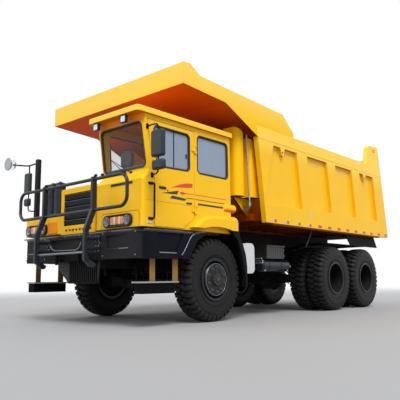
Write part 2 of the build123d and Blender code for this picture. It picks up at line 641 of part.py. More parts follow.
def canopy():
    """The tray over the cab: a sheet bent up to the front, side plates and the tall front plate."""
    under = [(CANOPY_FRONT, CANOPY_LOW), (CANOPY_BEND, BEND_Z), (CANOPY_FAR, canopy_low(CANOPY_FAR))]
    tray = side_plate(under + [(y, z + SHEET_T) for y, z in reversed(under)], -BED_HALF, BED_HALF)
    low_cut = 2900
    beyond = [(CANOPY_FAR + 200, RAIL_Z), (CANOPY_FAR + 200, low_cut)]
    tray -= side_plate([(wall_front_y(low_cut), low_cut), (wall_front_y(RAIL_Z), RAIL_Z)] + beyond, -INNER_X, INNER_X)
    tray += block(-BED_HALF, BED_HALF, CANOPY_FRONT, CANOPY_FRONT + 40, CANOPY_LOW, CANOPY_TOP)
    cheek = [(CANOPY_FRONT, CANOPY_LOW), (CANOPY_FRONT, CANOPY_TOP), (aft(-858), 4097), (aft(-614), 3955)]
    cheek += [(aft(1830), 3867), (aft(2205), 3556), (aft(2215), RAIL_Z), (front_edge(RAIL_Z), RAIL_Z)]
    cheek += [(front_edge(3225) - 2, 3255), (CANOPY_BEND, BEND_Z)]
    wall_space = [(front_edge(low_cut), low_cut), (front_edge(RAIL_Z), RAIL_Z)] + beyond
    for side in (-1, 1):
        tray += side_plate(cheek, *both(side * (BED_HALF - 30), side * BED_HALF))
        tray -= side_plate(wall_space, *both(side * INNER_X, side * (BED_HALF + 5)))
    return tray


save("bed_canopy", canopy())


def tailgate():
    """The top-hung gate: plate, recessed panels and the two hinge arms."""
    half, top, low = INNER_X - RUN_GAP, 3700.0, BED_BOTTOM + 20
    back = GATE_INSET + GATE_T
    slab = [(rear_edge(low, back), low), (rear_edge(top, back), top)]
    slab += [(rear_edge(top, GATE_INSET), top), (rear_edge(low, GATE_INSET), low)]
    gate = side_plate(slab, -half, half)
    deep = GATE_INSET + GATE_T / 2
    recess = [(rear_edge(2000, deep), 2000), (rear_edge(3500, deep), 3500)]
    recess += [(rear_edge(3500), 3500), (rear_edge(2000), 2000)]
    for x0, x1 in ((-1500, -820), (-740, -60), (60, 740), (820, 1500)):
        gate -= side_plate(recess, x0, x1)
    arm = [(rear_edge(3400, back - 10), 3400), (rear_edge(3400, GATE_INSET + 10), 3400)]
    arm += [(GATE_PIN_Y + 75, GATE_PIN_Z + 20), (GATE_PIN_Y + 20, GATE_PIN_Z + 75)]
    arm += [(GATE_PIN_Y - 60, GATE_PIN_Z + 60), (GATE_PIN_Y - 75, GATE_PIN_Z - 30)]
    for side in (-1, 1):
        gate += side_plate(arm, *both(side * (half - 40), side * half))
    return gate - cross_rod(-half - 20, half + 20, GATE_PIN_Y, GATE_PIN_Z, GATE_PIN_R + PIN_FIT)


save("tailgate", tailgate())


def bed_flap(side):
    """A rubber sheet hung under the body's side, above the rear wheels."""
    x = side * (INNER_X - 50)
    top = BED_BOTTOM - SEAT_GAP
    outline = [(TANDEM_Y - 70, top), (TANDEM_Y + 1500, top), (TANDEM_Y + 1690, 1425), (TANDEM_Y + 200, 1425)]
    return side_plate(outline, x - 6, x + 6)


save("bed_flaps", bed_flap(1), bed_flap(-1))


# ---- cab ----
def cab_front_y(z):
    """The cab's front face at a height above the knee, where it leans forward."""
    return CAB_FRONT + KNEE_BACK * (CAB_TOP - z) / (CAB_TOP - SCREEN_FOOT)


def door_front(z):
    """The door's front edge at a height: upright below the knee, leaning forward above it."""
    lean = max(0.0, z - CAB_KNEE) / (DOOR_TOP - CAB_KNEE)
    return CAB_FRONT + 250 - 152 * lean


SIDE_WINDOW_Z = (2410.0, 3035.0)
DOOR_OUTLINE = ((DOOR_REAR, DOOR_TOP), (door_front(DOOR_TOP), DOOR_TOP), (door_front(CAB_KNEE), CAB_KNEE),
                (door_front(DOOR_LOW), DOOR_LOW), (aft(-790), DOOR_LOW), (DOOR_REAR, 1658))
DOOR_WINDOW = ((DOOR_REAR - 105, SIDE_WINDOW_Z[1] - 30), (door_front(3005) + 110, SIDE_WINDOW_Z[1] - 30),
               (door_front(2390) + 90, SIDE_WINDOW_Z[0] - 20), (DOOR_REAR - 105, SIDE_WINDOW_Z[0]))
REAR_WINDOW = ((aft(-435), SIDE_WINDOW_Z[0]), (aft(350), SIDE_WINDOW_Z[0]), (aft(350), SIDE_WINDOW_Z[1]),
               (aft(-435), SIDE_WINDOW_Z[1]))
RIGHT_WINDOW = ((aft(-1390), SIDE_WINDOW_Z[0]), (aft(350), SIDE_WINDOW_Z[0]), (aft(350), SIDE_WINDOW_Z[1]),
                (aft(-1450), SIDE_WINDOW_Z[1]))
SCREEN = ((CAB_RIGHT + 75, SCREEN_LOW), (CAB_LEFT - 50, SCREEN_LOW), (CAB_LEFT - 65, SCREEN_HIGH),
          (CAB_RIGHT + 75, SCREEN_HIGH))
BACK_WINDOW = ((CAB_RIGHT + 200, 2480), (CAB_LEFT - 200, 2480), (CAB_LEFT - 200, 2960), (CAB_RIGHT + 200, 2960))
SCREEN_SPAN = (CAB_FRONT - 40, CAB_FRONT + 220)


def cab_block():
    """The cab's outer form with rounded front corners."""
    outline = [(CAB_FRONT, CAB_FLOOR), (CAB_FRONT, CAB_KNEE), (CAB_FRONT + KNEE_BACK, SCREEN_FOOT)]
    outline += [(CAB_FRONT, CAB_TOP), (CAB_REAR, CAB_TOP), (CAB_REAR, CAB_FLOOR)]
    form = side_plate(outline, CAB_RIGHT, CAB_LEFT)
    for x in (CAB_LEFT, CAB_RIGHT):
        form = fillet(corner_edges(form, x, CAB_FRONT + KNEE_BACK), CAB_CORNER_R)
        rear = [e for e in form.edges().filter_by(Axis.Z)
                if abs(e.center().X - x) < 1 and abs(e.center().Y - CAB_REAR) < 1]
        form = fillet(rear, CAB_CORNER_R)
    return form


def cab_room():
    """The room inside the cab's walls."""
    w = CAB_WALL
    front = [(CAB_FRONT + w, CAB_FLOOR + w), (CAB_FRONT + w, CAB_KNEE), (CAB_FRONT + KNEE_BACK + w, SCREEN_FOOT)]
    rear = [(CAB_FRONT + w, CAB_TOP + 5), (CAB_REAR - w, CAB_TOP + 5), (CAB_REAR - w, CAB_FLOOR + w)]
    return side_plate(front + rear, CAB_RIGHT + w, CAB_LEFT - w)


def side_seam(x0, x1, y0, y1):
    """The thin groove along a side at the crease's height."""
    return block(x0, x1, y0, y1, CREASE_Z - SEAM_W / 2, CREASE_Z + SEAM_W / 2)


def hinge_lugs(z):
    """The cab's half of a door hinge: two lugs on a leaf and the pin through them."""
    x, y, height = CAB_LEFT + DOOR_HINGE_OUT, DOOR_REAR + HINGE_BACK, 28
    leaf = upright(x, y, z - 70, z + 70, DOOR_PIN_R)
    for low in (z - 70, z + 70 - height):
        leaf += upright(x, y, low, low + height, DOOR_BARREL_R)
        leaf += block(CAB_LEFT - 1, x, y, y + 60, low, low + height)
    return leaf


def cab_shell():
    """Walls, floor and posts of the cab, with the door's and windows' openings."""
    shell = cab_block() - cab_room()
    left_skin = (CAB_LEFT - CAB_WALL - 1, CAB_LEFT + 5)
    shell -= soft_side_plate(DOOR_OUTLINE, 0, *left_skin, grow=DOOR_GAP)
    shell -= soft_side_plate(REAR_WINDOW, WINDOW_R, *left_skin)
    shell -= soft_side_plate(RIGHT_WINDOW, WINDOW_R, CAB_RIGHT - 5, CAB_RIGHT + CAB_WALL + 1)
    shell -= soft_front_plate(SCREEN, WINDOW_R, *SCREEN_SPAN)
    shell -= soft_front_plate(BACK_WINDOW, WINDOW_R, CAB_REAR - CAB_WALL - 5, CAB_REAR + 5)
    shell -= side_seam(CAB_LEFT - SEAM_DEEP, CAB_LEFT + 5, CAB_FRONT + CAB_CORNER_R, door_front(CREASE_Z) - DOOR_GAP)
    shell -= side_seam(CAB_LEFT - SEAM_DEEP, CAB_LEFT + 5, DOOR_REAR + DOOR_GAP, DOOR_REAR + 120)
    for x in (CAB_RIGHT + 365, CAB_LEFT - 45):
        shell -= block(x - 3, x + 3, CAB_FRONT - 5, CAB_FRONT + SEAM_DEEP, CAB_FLOOR + 60, CAB_KNEE - 20)
    shell -= block(CAB_RIGHT + 380, CAB_LEFT - 215, CAB_FRONT - 5, CAB_FRONT + 20, 2112, 2146)
    lobe_r = 78
    lobe = rod((CAB_LEFT - 45, aft(215), 1898), (CAB_LEFT - 45, CAB_REAR + 105, 1898), lobe_r)
    lobe = fillet(lobe.edges(), lobe_r * 0.6)
    shell += lobe - block(CAB_LEFT - 150, CAB_LEFT - CAB_WALL + 5, aft(0), CAB_REAR - CAB_WALL + 5, 1800, 2000)
    for z in DOOR_HINGE_ZS:
        shell += hinge_lugs(z)
    return shell


save("cab_shell", cab_shell())
roof = block(CAB_RIGHT - ROOF_OUT, CAB_LEFT + ROOF_OUT, CAB_FRONT - VISOR, CAB_REAR + 20, CAB_TOP, CAB_TOP + ROOF_T)
roof = fillet(roof.edges().filter_by(Axis.Z), 60)
save("cab_roof", fillet(roof.faces().sort_by(Axis.Z)[-1].edges(), 30))


def left_door():
    """The rear-hung door with its window's opening and two hinge knuckles."""
    door = soft_side_plate(DOOR_OUTLINE, 0, CAB_LEFT - CAB_WALL, CAB_LEFT)
    door -= soft_side_plate(DOOR_WINDOW, WINDOW_R, CAB_LEFT - CAB_WALL - 1, CAB_LEFT + 1)
    door -= side_seam(CAB_LEFT - SEAM_DEEP, CAB_LEFT + 5, door_front(CREASE_Z) - 5, DOOR_REAR + 5)
    door -= block(CAB_LEFT - 18, CAB_LEFT + 5, HANDLE_Y - 75, HANDLE_Y + 75, 2044, 2088)
    door += block(CAB_LEFT - 19, CAB_LEFT - 4, HANDLE_Y - 60, HANDLE_Y + 60, 2054, 2078)
    x, y = CAB_LEFT + DOOR_HINGE_OUT, DOOR_REAR + HINGE_BACK
    for z in DOOR_HINGE_ZS:
        door += upright(x, y, z - 40, z + 40, DOOR_BARREL_R)
        door += block(CAB_LEFT - 5, x, y - 66, y - 4, z - 40, z + 40)
        door -= upright(x, y, z - 80, z + 80, DOOR_PIN_R + PIN_FIT)
    return door


save("left_door", left_door())
pane_r = WINDOW_R + 1
outer_face = CAB_LEFT - GLASS_IN
left_pane = (outer_face - GLASS, outer_face)
save("door_glass", soft_side_plate(DOOR_WINDOW, pane_r, *left_pane, grow=-SEAT_GAP))
save("cab_glass",
     soft_side_plate(REAR_WINDOW, pane_r, *left_pane, grow=-SEAT_GAP),
     soft_side_plate(RIGHT_WINDOW, pane_r, CAB_RIGHT + GLASS_IN, CAB_RIGHT + GLASS_IN + GLASS, grow=-SEAT_GAP),
     soft_front_plate(BACK_WINDOW, pane_r, CAB_REAR - GLASS_IN - GLASS, CAB_REAR - GLASS_IN, grow=-SEAT_GAP))


def windscreen():
    """The leaning screen, in line with the cab's front face."""
    low, high = SCREEN_LOW - 40, SCREEN_HIGH + 40
    face = [(cab_front_y(low) + GLASS_IN, low), (cab_front_y(high) + GLASS_IN, high)]
    sheet = side_plate(face + [(y + GLASS, z) for y, z in reversed(face)], CAB_RIGHT, CAB_LEFT)
    return soft_front_plate(SCREEN, pane_r, *SCREEN_SPAN, grow=-SEAT_GAP) & sheet


save("windscreen", windscreen())

# ---- inside the cab ----
ROOM_FLOOR = CAB_FLOOR + CAB_WALL
SEAT_X = (CAB_LEFT + CAB_RIGHT) / 2
SEAT_Y = CAB_REAR - 960
seat = block(SEAT_X - 240, SEAT_X + 240, SEAT_Y - 230, SEAT_Y + 230, ROOM_FLOOR + 330, ROOM_FLOOR + 450)
back_rest = [(SEAT_Y + 150, CAB_FLOOR + 500), (SEAT_Y + 270, CAB_FLOOR + 500), (SEAT_Y + 380, CAB_FLOOR + 1130)]
back_rest += [(SEAT_Y + 290, CAB_FLOOR + 1130)]
seat += side_plate(back_rest, SEAT_X - 230, SEAT_X + 230)
seat += block(SEAT_X - 170, SEAT_X + 170, SEAT_Y - 170, SEAT_Y + 170, ROOM_FLOOR, ROOM_FLOOR + 331)
save("driver_seat", seat)


def dashboard():
    """The instrument shelf behind the front wall, the steering column and its wheel."""
    y = CAB_FRONT + CAB_WALL + SEAT_GAP
    low = CAB_FLOOR + 500
    outline = [(y, low), (y, CAB_KNEE - 5), (y + KNEE_BACK, SCREEN_FOOT), (y + 360, SCREEN_FOOT - 40)]
    outline += [(y + 400, low + 120), (y + 250, low)]
    shelf = side_plate(outline, CAB_RIGHT + CAB_WALL + SEAT_GAP, CAB_LEFT - CAB_WALL - 40)
    hub = (SEAT_X, y + 520, 2350)
    shelf += rod((SEAT_X, y + 320, 2160), hub, 32)
    tilted = Plane(origin=hub, z_dir=(0, 200, 190))
    wheel_r, rim_r = 215, 17
    shelf += tilted * Torus(wheel_r, rim_r)
    for turn in (90, 210, 330):
        shelf += tilted * Rot(0, 0, turn) * (Pos(wheel_r / 2, 0, 0) * Box(wheel_r, 36, 14))
    return shelf


save("dashboard", dashboard())

# ---- front end ----
GRILLE_X = (-433.0, 365.0)
GRILLE_Z = (1592.0, 2128.0)
PANEL_RIGHT = -CAB_LEFT - 70
VENT_XS = (-386, -293, -200, -107, -14, 79, 172, 265)


def hood():
    """Hood over the engine beside the cab, the low panel right of it, and the deck over the right wheel."""
    hood_left = CAB_RIGHT - 12
    low = RAIL_TOP + CAB_BEAM_H + SEAT_GAP
    rear = aft(385)
    box = block(HOOD_RIGHT, hood_left, CAB_FRONT, rear, low, HOOD_TOP)
    box = fillet(box.edges().filter_by(Axis.Y).sort_by(Axis.Z)[-2:], 30)
    box -= block(HOOD_RIGHT + HOOD_SKIN, hood_left - HOOD_SKIN, CAB_FRONT + HOOD_SKIN, rear + 15, low - 10,
                 HOOD_TOP - HOOD_SKIN)
    box -= block(*GRILLE_X, CAB_FRONT - 5, CAB_FRONT + 60, *GRILLE_Z)
    for x in VENT_XS:
        box -= block(x, x + 66, CAB_FRONT - 5, CAB_FRONT + 60, 1496, 1532)
    panel = block(PANEL_RIGHT, HOOD_RIGHT + 1, CAB_FRONT, CAB_FRONT + DECK_T, 1470, DECK_Z)
    panel -= block(-905, -895, CAB_FRONT - 1, CAB_FRONT + SEAM_DEEP, 1475, 1740)
    deck = block(-CAB_LEFT, HOOD_RIGHT + 1, CAB_FRONT, CAB_REAR, DECK_Z - DECK_T, DECK_Z)
    skirt = block(PANEL_RIGHT, PANEL_RIGHT + DECK_T, CAB_FRONT, aft(-1010), 1470, DECK_Z)
    skirt += block(PANEL_RIGHT, 1 - CAB_LEFT, CAB_FRONT, aft(-1010), DECK_Z - DECK_T, DECK_Z)
    skirt += block(-CAB_LEFT, DECK_T - CAB_LEFT, CAB_FRONT, CAB_REAR, LIP_LOW, DECK_Z)
    return box + panel + deck + skirt


save("hood", hood())


def grille():
    """A back plate with louvres and a broad middle bar."""
    x0, x1 = GRILLE_X[0] + SEAT_GAP, GRILLE_X[1] - SEAT_GAP
    low, high = GRILLE_Z[0] + SEAT_GAP, GRILLE_Z[1] - SEAT_GAP
    plate = block(x0, x1, CAB_FRONT + 42, CAB_FRONT + 56, low, high)
    louvre = [(CAB_FRONT + 8, 0), (CAB_FRONT + 16, 0), (CAB_FRONT + 43, 34)]
    louvre += [(CAB_FRONT + 43, 44), (CAB_FRONT + 34, 44)]
    for index in range(9):
        z = GRILLE_Z[0] + 16 + index * 58
        plate += side_plate([(y, z + rise) for y, rise in louvre], x0, x1)
    return plate + block(x0, x1, CAB_FRONT + 4, CAB_FRONT + 43, 1812, 1850)


save("grille", grille())

# (front x, rear y) corners of the bumper in plan, from the middle outwards
BUMPER_PLAN = ((760, BUMPER_FACE), (1400, BUMPER_FACE + 36), (BUMPER_HALF, BUMPER_CORNER))
FACE_IN = 60.0


def bumper_recess(x_low, x_high, top_in):
    """A pressed field in the bumper's face, narrower at its foot."""
    outline = ((x_low, 1350), (x_high, 1350), (x_high - top_in, 1155), (x_low + top_in, 1155))
    return soft_front_plate(outline, 25, BUMPER_FACE - 10, BUMPER_FACE + 34)


def bumper():
    """A steel bumper: straight middle, swept ends, side panels cut back to flared wheel arches."""
    right = [(-x, y) for x, y in reversed(BUMPER_PLAN)]
    inner = [(BUMPER_HALF - BUMPER_SKIN, BUMPER_CORNER + 50), (1380, BUMPER_FACE + 90), (740, BUMPER_FACE + FACE_IN)]
    back = inner + [(-x, y) for x, y in reversed(inner)]
    bar = plan_plate(right + list(BUMPER_PLAN) + back, BUMPER_LOW, BUMPER_TOP)
    bar -= bumper_recess(-610, 610, 110)
    arch = [(aft(-934), BUMPER_LOW), (aft(-620), BUMPER_TOP), (aft(-312), BUMPER_TOP), (aft(-580), 1289)]
    arch += [(aft(-700), 1120), (aft(-754), BUMPER_LOW)]
    for side in (-1, 1):
        bar -= bumper_recess(*both(side * 845, side * 1395), 20)
        panel = [(BUMPER_CORNER, BUMPER_LOW), (BUMPER_CORNER, BUMPER_TOP), (aft(-400), BUMPER_TOP), (aft(-620), 1270)]
        panel += [(aft(-800), BUMPER_LOW)]
        outer = side * BUMPER_HALF
        bar += side_plate(panel, *both(side * (BUMPER_HALF - BUMPER_SKIN), outer))
        bar += side_plate(arch, *both(side * (BUMPER_HALF - BUMPER_SKIN), side * (BUMPER_HALF + 34)))
        field = [(aft(-1425), 1372), (aft(-850), 1380), (aft(-1035), 1062), (aft(-1410), 1062)]
        bar -= soft_side_plate(field, 20, *both(side * (BUMPER_HALF - 26), outer + side))
        bar += block(side * 1380, side * 1556, aft(-1640), aft(-880), BUMPER_LOW, BUMPER_LOW + SHELF_T)
        bar += block(side * 405 - 54, side * 405 + 54, BUMPER_FACE + FACE_IN - 1, FRAME_FRONT, 1080, 1340)
        tow = side * TOW_X
        for low in (TOW_Z - CLEVIS_GAP / 2 - CLEVIS_T, TOW_Z + CLEVIS_GAP / 2):
            lug = [(tow - 60, BUMPER_FACE + 5), (tow + 60, BUMPER_FACE + 5), (tow + 52, BUMPER_FACE - 110)]
            lug += [(tow + 26, BUMPER_FACE - 132), (tow - 26, BUMPER_FACE - 132), (tow - 52, BUMPER_FACE - 110)]
            bar += plan_plate(lug, low, low + CLEVIS_T)
        bar -= upright(tow, BUMPER_FACE - TOW_REACH, TOW_Z - 80, TOW_Z + 80, TOW_R)
    return bar + block(-1556, 1556, BUMPER_FACE + FACE_IN - 1, BUMPER_FACE + 300, BUMPER_TOP - 15, BUMPER_TOP)


save("bumper", bumper())


def bull_bar():
    """A loop of tube on two flat posts that kink forward before the bumper and curl back under it."""
    y = LOOP_Y
    points = [(0, y, LOOP_TOP), (LOOP_HALF, y, LOOP_TOP), (LOOP_HALF, y, LOOP_LOW), (-LOOP_HALF, y, LOOP_LOW)]
    points += [(-LOOP_HALF, y, LOOP_TOP), (-1, y, LOOP_TOP)]
    bar = bent_tube(points, 150, LOOP_R) + cross_rod(-2, 1, y, LOOP_TOP, LOOP_R)
    half = POST_DEEP / 2
    low = POST_LOW_Y
    post = [(y - half, LOOP_TOP + 40), (y + half, LOOP_TOP + 40), (y + half, LOOP_LOW - 10), (low + half, 1430)]
    post += [(low + half, 1010), (y + 60, 930), (y + 10, 878), (y - 50, 890), (low - half, 990), (low - half, 1450)]
    post += [(y - half, LOOP_LOW + 20)]
    for side in (-1, 1):
        x = side * POST_X
        bar += soft_side_plate(post, 18, x - POST_T / 2, x + POST_T / 2)
        for z in (1170, 1320):
            bar += rod((x, low, z), (x, BUMPER_FACE - SEAT_GAP, z), 35)
    return bar + block(-POST_X - 60, POST_X + 60, low + 10, low + 60, 1092, 1126)


save("bull_bar", bull_bar())
GUARD_Y = CAB_FRONT + 60
guard = front_plate([(-640, 1000), (480, 1000), (440, 640), (-330, 640), (-640, 900)], GUARD_Y, GUARD_Y + 25)
save("radiator_guard", guard + block(-520, 480, GUARD_Y, FRAME_FRONT - SEAT_GAP, 995, 1050))


# (y, z) round the fender's lip in side view, from its foot ahead of the wheel to its foot behind it
LIP_OUTLINE = ((aft(-890), LIP_LOW - 150), (aft(-455), 1648), (aft(-250), 1715), (aft(515), 1750),
               (aft(515), LIP_LOW - 150))


def fender(side):
    """The swollen lip over the front wheel: a thin crowned shell, open below in a flat arch."""
    near, far = side * (CAB_LEFT + SEAT_GAP), side * (CAB_LEFT + LIP_OUT)
    shell = soft_side_plate(LIP_OUTLINE, LIP_CORNER_R, *both(near, far))
    edge = [e for e in shell.edges() if abs(e.center().X - far) < 1 and e.center().Z > LIP_LOW - 100]
    shell = fillet(edge, LIP_CURL)
    room = soft_side_plate(LIP_OUTLINE, LIP_CORNER_R, *both(near - side * 30, far - side * LIP_SKIN), grow=-LIP_SKIN)
    shell -= room
    span = both(side * (CAB_LEFT - LIP_OUT), side * (CAB_LEFT + 1.5 * LIP_OUT))
    shell -= block(*span, aft(-1000), aft(600), LIP_LOW - 200, LIP_LOW)
    return shell - cross_rod(*span, LIP_Y, LIP_ARCH_TOP - LIP_ARCH_R, LIP_ARCH_R)


save("fenders", fender(1), fender(-1))

# (y, z) down the wheel arch's liner: its front line, and its back line clear of the steered tyre
LINER_FRONT = ((aft(300), LIP_LOW - SEAT_GAP), (aft(362), 1471), (aft(502), 1340), (aft(579), 1166), (aft(635), 965),
               (aft(695), 738), (aft(706), 550))
LINER_BACK = ((aft(870), 550), (aft(862), 760), (aft(800), 1010), (aft(690), 1250), (aft(575), LIP_LOW - SEAT_GAP))
SHEET_FRONT = ((aft(520), LIP_LOW - SEAT_GAP), (aft(650), 1250), (aft(765), 1010), (aft(838), 760), (aft(844), 550))


EDGE_BACK = ((aft(745), 550), (aft(745), 900), (aft(715), 1090), (aft(640), 1280), (aft(560), 1410),
             (aft(540), LIP_LOW - SEAT_GAP))
EDGE_T = 25.0
EDGE_INNER = tuple((y - EDGE_T, z) for y, z in reversed(EDGE_BACK))
SHEET_OUT = 1510.0


def mud_flap(side):
    """The arch's liner behind the front wheel: a rubber sheet that steps forward to a deep edge outside the tyre."""
    flap = side_plate(SHEET_FRONT + LINER_BACK, *both(side * 1120, side * SHEET_OUT))
    flap += side_plate(EDGE_INNER + LINER_BACK, *both(side * (SHEET_OUT - 12), side * SHEET_OUT))
    flap += side_plate(EDGE_INNER + EDGE_BACK, *both(side * (SHEET_OUT - 12), side * 1550))
    return flap + side_plate(LINER_FRONT + EDGE_BACK, *both(side * 1545, side * 1610))


save("mud_flaps", mud_flap(1), mud_flap(-1))

# ---- lamps ----
LAMP_Z = (1480.0, 1668.0)
LAMP_T = 30.0
lamps = []
for x0, x1 in ((655, 1315), (-1556, -900)):
    outline = ((x0, LAMP_Z[0]), (x1, LAMP_Z[0]), (x1, LAMP_Z[1]), (x0, LAMP_Z[1]))
    lamps.append(soft_front_plate(outline, 60, CAB_FRONT - LAMP_T, CAB_FRONT - SEAT_GAP))
for x in (555, 1215):
    lamp = block(x - 64, x + 64, CAB_FRONT - 130, CAB_FRONT - 65, CAB_TOP - 128, CAB_TOP - SEAT_GAP)
    lamps.append(fillet(lamp.edges().filter_by(Axis.Y), 14))
save("lamps", *lamps)


# ---- mirrors ----
def housing(x, y, z0, z1, half, depth):
    """A mirror's case with rounded upright edges."""
    case = block(x - half, x + half, y - depth / 2, y + depth / 2, z0, z1)
    return fillet(case.edges().filter_by(Axis.Y), 28)


def left_mirrors():
    """Two cases on a bent arm from two pads on the cab's post, ahead of the door, and the grab handle."""
    y = CAB_FRONT + 130
    reach = CAB_LEFT + 322
    post = (y - 40, 2960), (y + 60, 2230)
    ends = [(CAB_LEFT + 12, post[0][0], post[0][1]), (CAB_LEFT + 12, post[1][0], post[1][1])]
    arm = bent_tube([ends[0], (reach, y - 120, 2930), (reach, y - 120, 2200), ends[1]], 60, 13)
    for at_y, z in post:
        arm += block(CAB_LEFT + SEAT_GAP, CAB_LEFT + 24, at_y - 28, at_y + 28, z - 36, z + 36)
    arm += housing(reach, y - 130, 2430, 2825, 122, 70)
    arm += housing(reach + 12, y - 130, 2240, 2385, 118, 70)
    return arm


def grab_handle():
    """The upright bar beside the door."""
    y, z0, z1, out = CAB_FRONT + 185, 1580, 2105, CAB_LEFT + 62
    inner = CAB_LEFT + SEAT_GAP
    return bent_tube([(inner, y, z1), (out, y, z1), (out, y, z0), (inner, y, z0)], 34, 15)


def right_mirrors():
    """A square post on the deck with a round mirror and two cases on a bent arm that reaches forward."""
    y, ahead = CAB_FRONT + 50, CAB_FRONT - 60
    post = block(-1395, -1308, y - 40, y + 40, DECK_Z + SEAT_GAP, 2895)
    post += bent_tube([(-1350, y, 2835), (-1465, ahead - 20, 2770), (-1850, ahead - 115, 2835)], 60, 14)
    post += rod((-1858, ahead - 105, 2835), (-1858, ahead - 163, 2835), 118)
    post += bent_tube([(-1465, ahead, 2772), (-1465, ahead, 1940), (-1370, y, 1940)], 50, 12)
    post += housing(-1465, ahead - 24, 2245, 2635, 92, 60)
    return post + housing(-1465, ahead - 24, 2030, 2170, 84, 60)


save("mirrors", left_mirrors(), grab_handle(), right_mirrors())


# ---- deck and side equipment ----
def air_cleaner():
    """Two upright filter cans in a frame on the deck, with a rain cap."""
    y = CAB_FRONT + 125
    base, cap = DECK_Z + SEAT_GAP, 2350
    stack = block(-1080, -630, y - 115, y + 115, base, base + 40)
    for x in (-965, -745):
        stack += upright(x, y, base + 20, cap, 98)
    return stack + block(-1090, -620, y - 100, y + 100, cap - 20, cap + 25)


save("air_cleaner", air_cleaner())


def ladder(side):
    """A hung step under the bumper's side: two broad straps, a tread and a box."""
    outer = side * 1520
    y0, y1 = aft(-1640), aft(-890)
    steps = block(side * 1290, outer, y0, y1, 645, 668)
    for y, width in ((aft(-1480), 100), (aft(-1012), 112)):
        steps += block(side * 1496, side * 1508, y, y + width, 646, BUMPER_LOW - SEAT_GAP)
    return steps + block(side * 1320, side * 1500, aft(-1620), aft(-960), 490, 646)


save("steps", ladder(1), ladder(-1))


def tank_bracket(y, side, low, high, out):
    """A plate from the frame's rail to a tank."""
    return block(side * RAIL_OUT, side * out, y, y + 60, low, high)


tank = block(-1400, -700, aft(980), aft(2500), 620, 1300)
tank = fillet(tank.edges().filter_by(Axis.Y), 110)
for y in (aft(1100), aft(2300)):
    tank += tank_bracket(y, -1, 1080, 1280, 701)
save("fuel_tank", tank)
oil_tank = block(1040, 1440, aft(885), aft(1205), 785, 1330)
oil_tank = fillet(oil_tank.edges().filter_by(Axis.X), 100)
save("hydraulic_tank", oil_tank + tank_bracket(aft(1050), 1, 1080, 1280, 1041))
battery = block(1000, 1430, aft(1620), aft(2230), 1070, 1300)
battery = fillet(battery.edges().filter_by(Axis.Z), 24)
for index in range(9):
    y = aft(1665 + index * 62)
    battery += block(1429, 1440, y, y + 26, 1082, 1288)
battery += block(985, 1445, aft(1606), aft(2244), 1300, 1322)
save("battery_box", battery + tank_bracket(aft(1895), 1, 1100, 1260, 1001))
TANK_R = 118.0
TANK_AT = (1310.0, 1069.7 - TANK_R - 12)
air_tank = rod((TANK_AT[0], aft(1520), TANK_AT[1]), (TANK_AT[0], aft(2460), TANK_AT[1]), TANK_R)
air_tank = fillet(air_tank.edges(), 40)
for y in (aft(1720), aft(2130)):
    air_tank += rod((TANK_AT[0], y, TANK_AT[1]), (TANK_AT[0], y + 36, TANK_AT[1]), TANK_R + 7)
    air_tank += block(TANK_AT[0] - 30, TANK_AT[0] + 30, y, y + 36, TANK_AT[1] + TANK_R, 1069.7)
save("air_tank", air_tank)


def rear_guard(side):
    """A flat rubber guard over the drive wheels on bars from the frame."""
    sheet = block(side * 900, side * 1560, DRIVE_AXLE_YS[0] - 300, DRIVE_AXLE_YS[1] + 500, 1440, 1452)
    # bracket from the rail's side: (x, z)
    bracket = [(RAIL_OUT, 1290), (RAIL_OUT, 1370), (RAIL_OUT + 40, 1376), (840, 1440), (1555, 1440), (1555, 1418)]
    bracket.append((880, 1404))
    for y in DRIVE_AXLE_YS:
        sheet += front_plate([(side * x, z) for x, z in bracket], y - 30, y + 30)
    return sheet


save("rear_mudguards", rear_guard(1), rear_guard(-1))
HITCH_Z = 1100.0
tail_bar = block(-1500, 1500, FRAME_REAR, FRAME_REAR + TAIL_BAR_T, HITCH_Z - 60, HITCH_Z + 60)
for low in (HITCH_Z - CLEVIS_GAP - CLEVIS_T, HITCH_Z + CLEVIS_GAP):
    tail_bar += block(-90, 90, FRAME_REAR + 1, FRAME_REAR + HITCH_REACH + 50, low, low + CLEVIS_T)
save("tail_bar", tail_bar - upright(0, FRAME_REAR + HITCH_REACH, HITCH_Z - 100, HITCH_Z + 100, TOW_R))
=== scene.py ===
"""Finishes, tyres, lamps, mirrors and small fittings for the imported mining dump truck."""
import json
import math

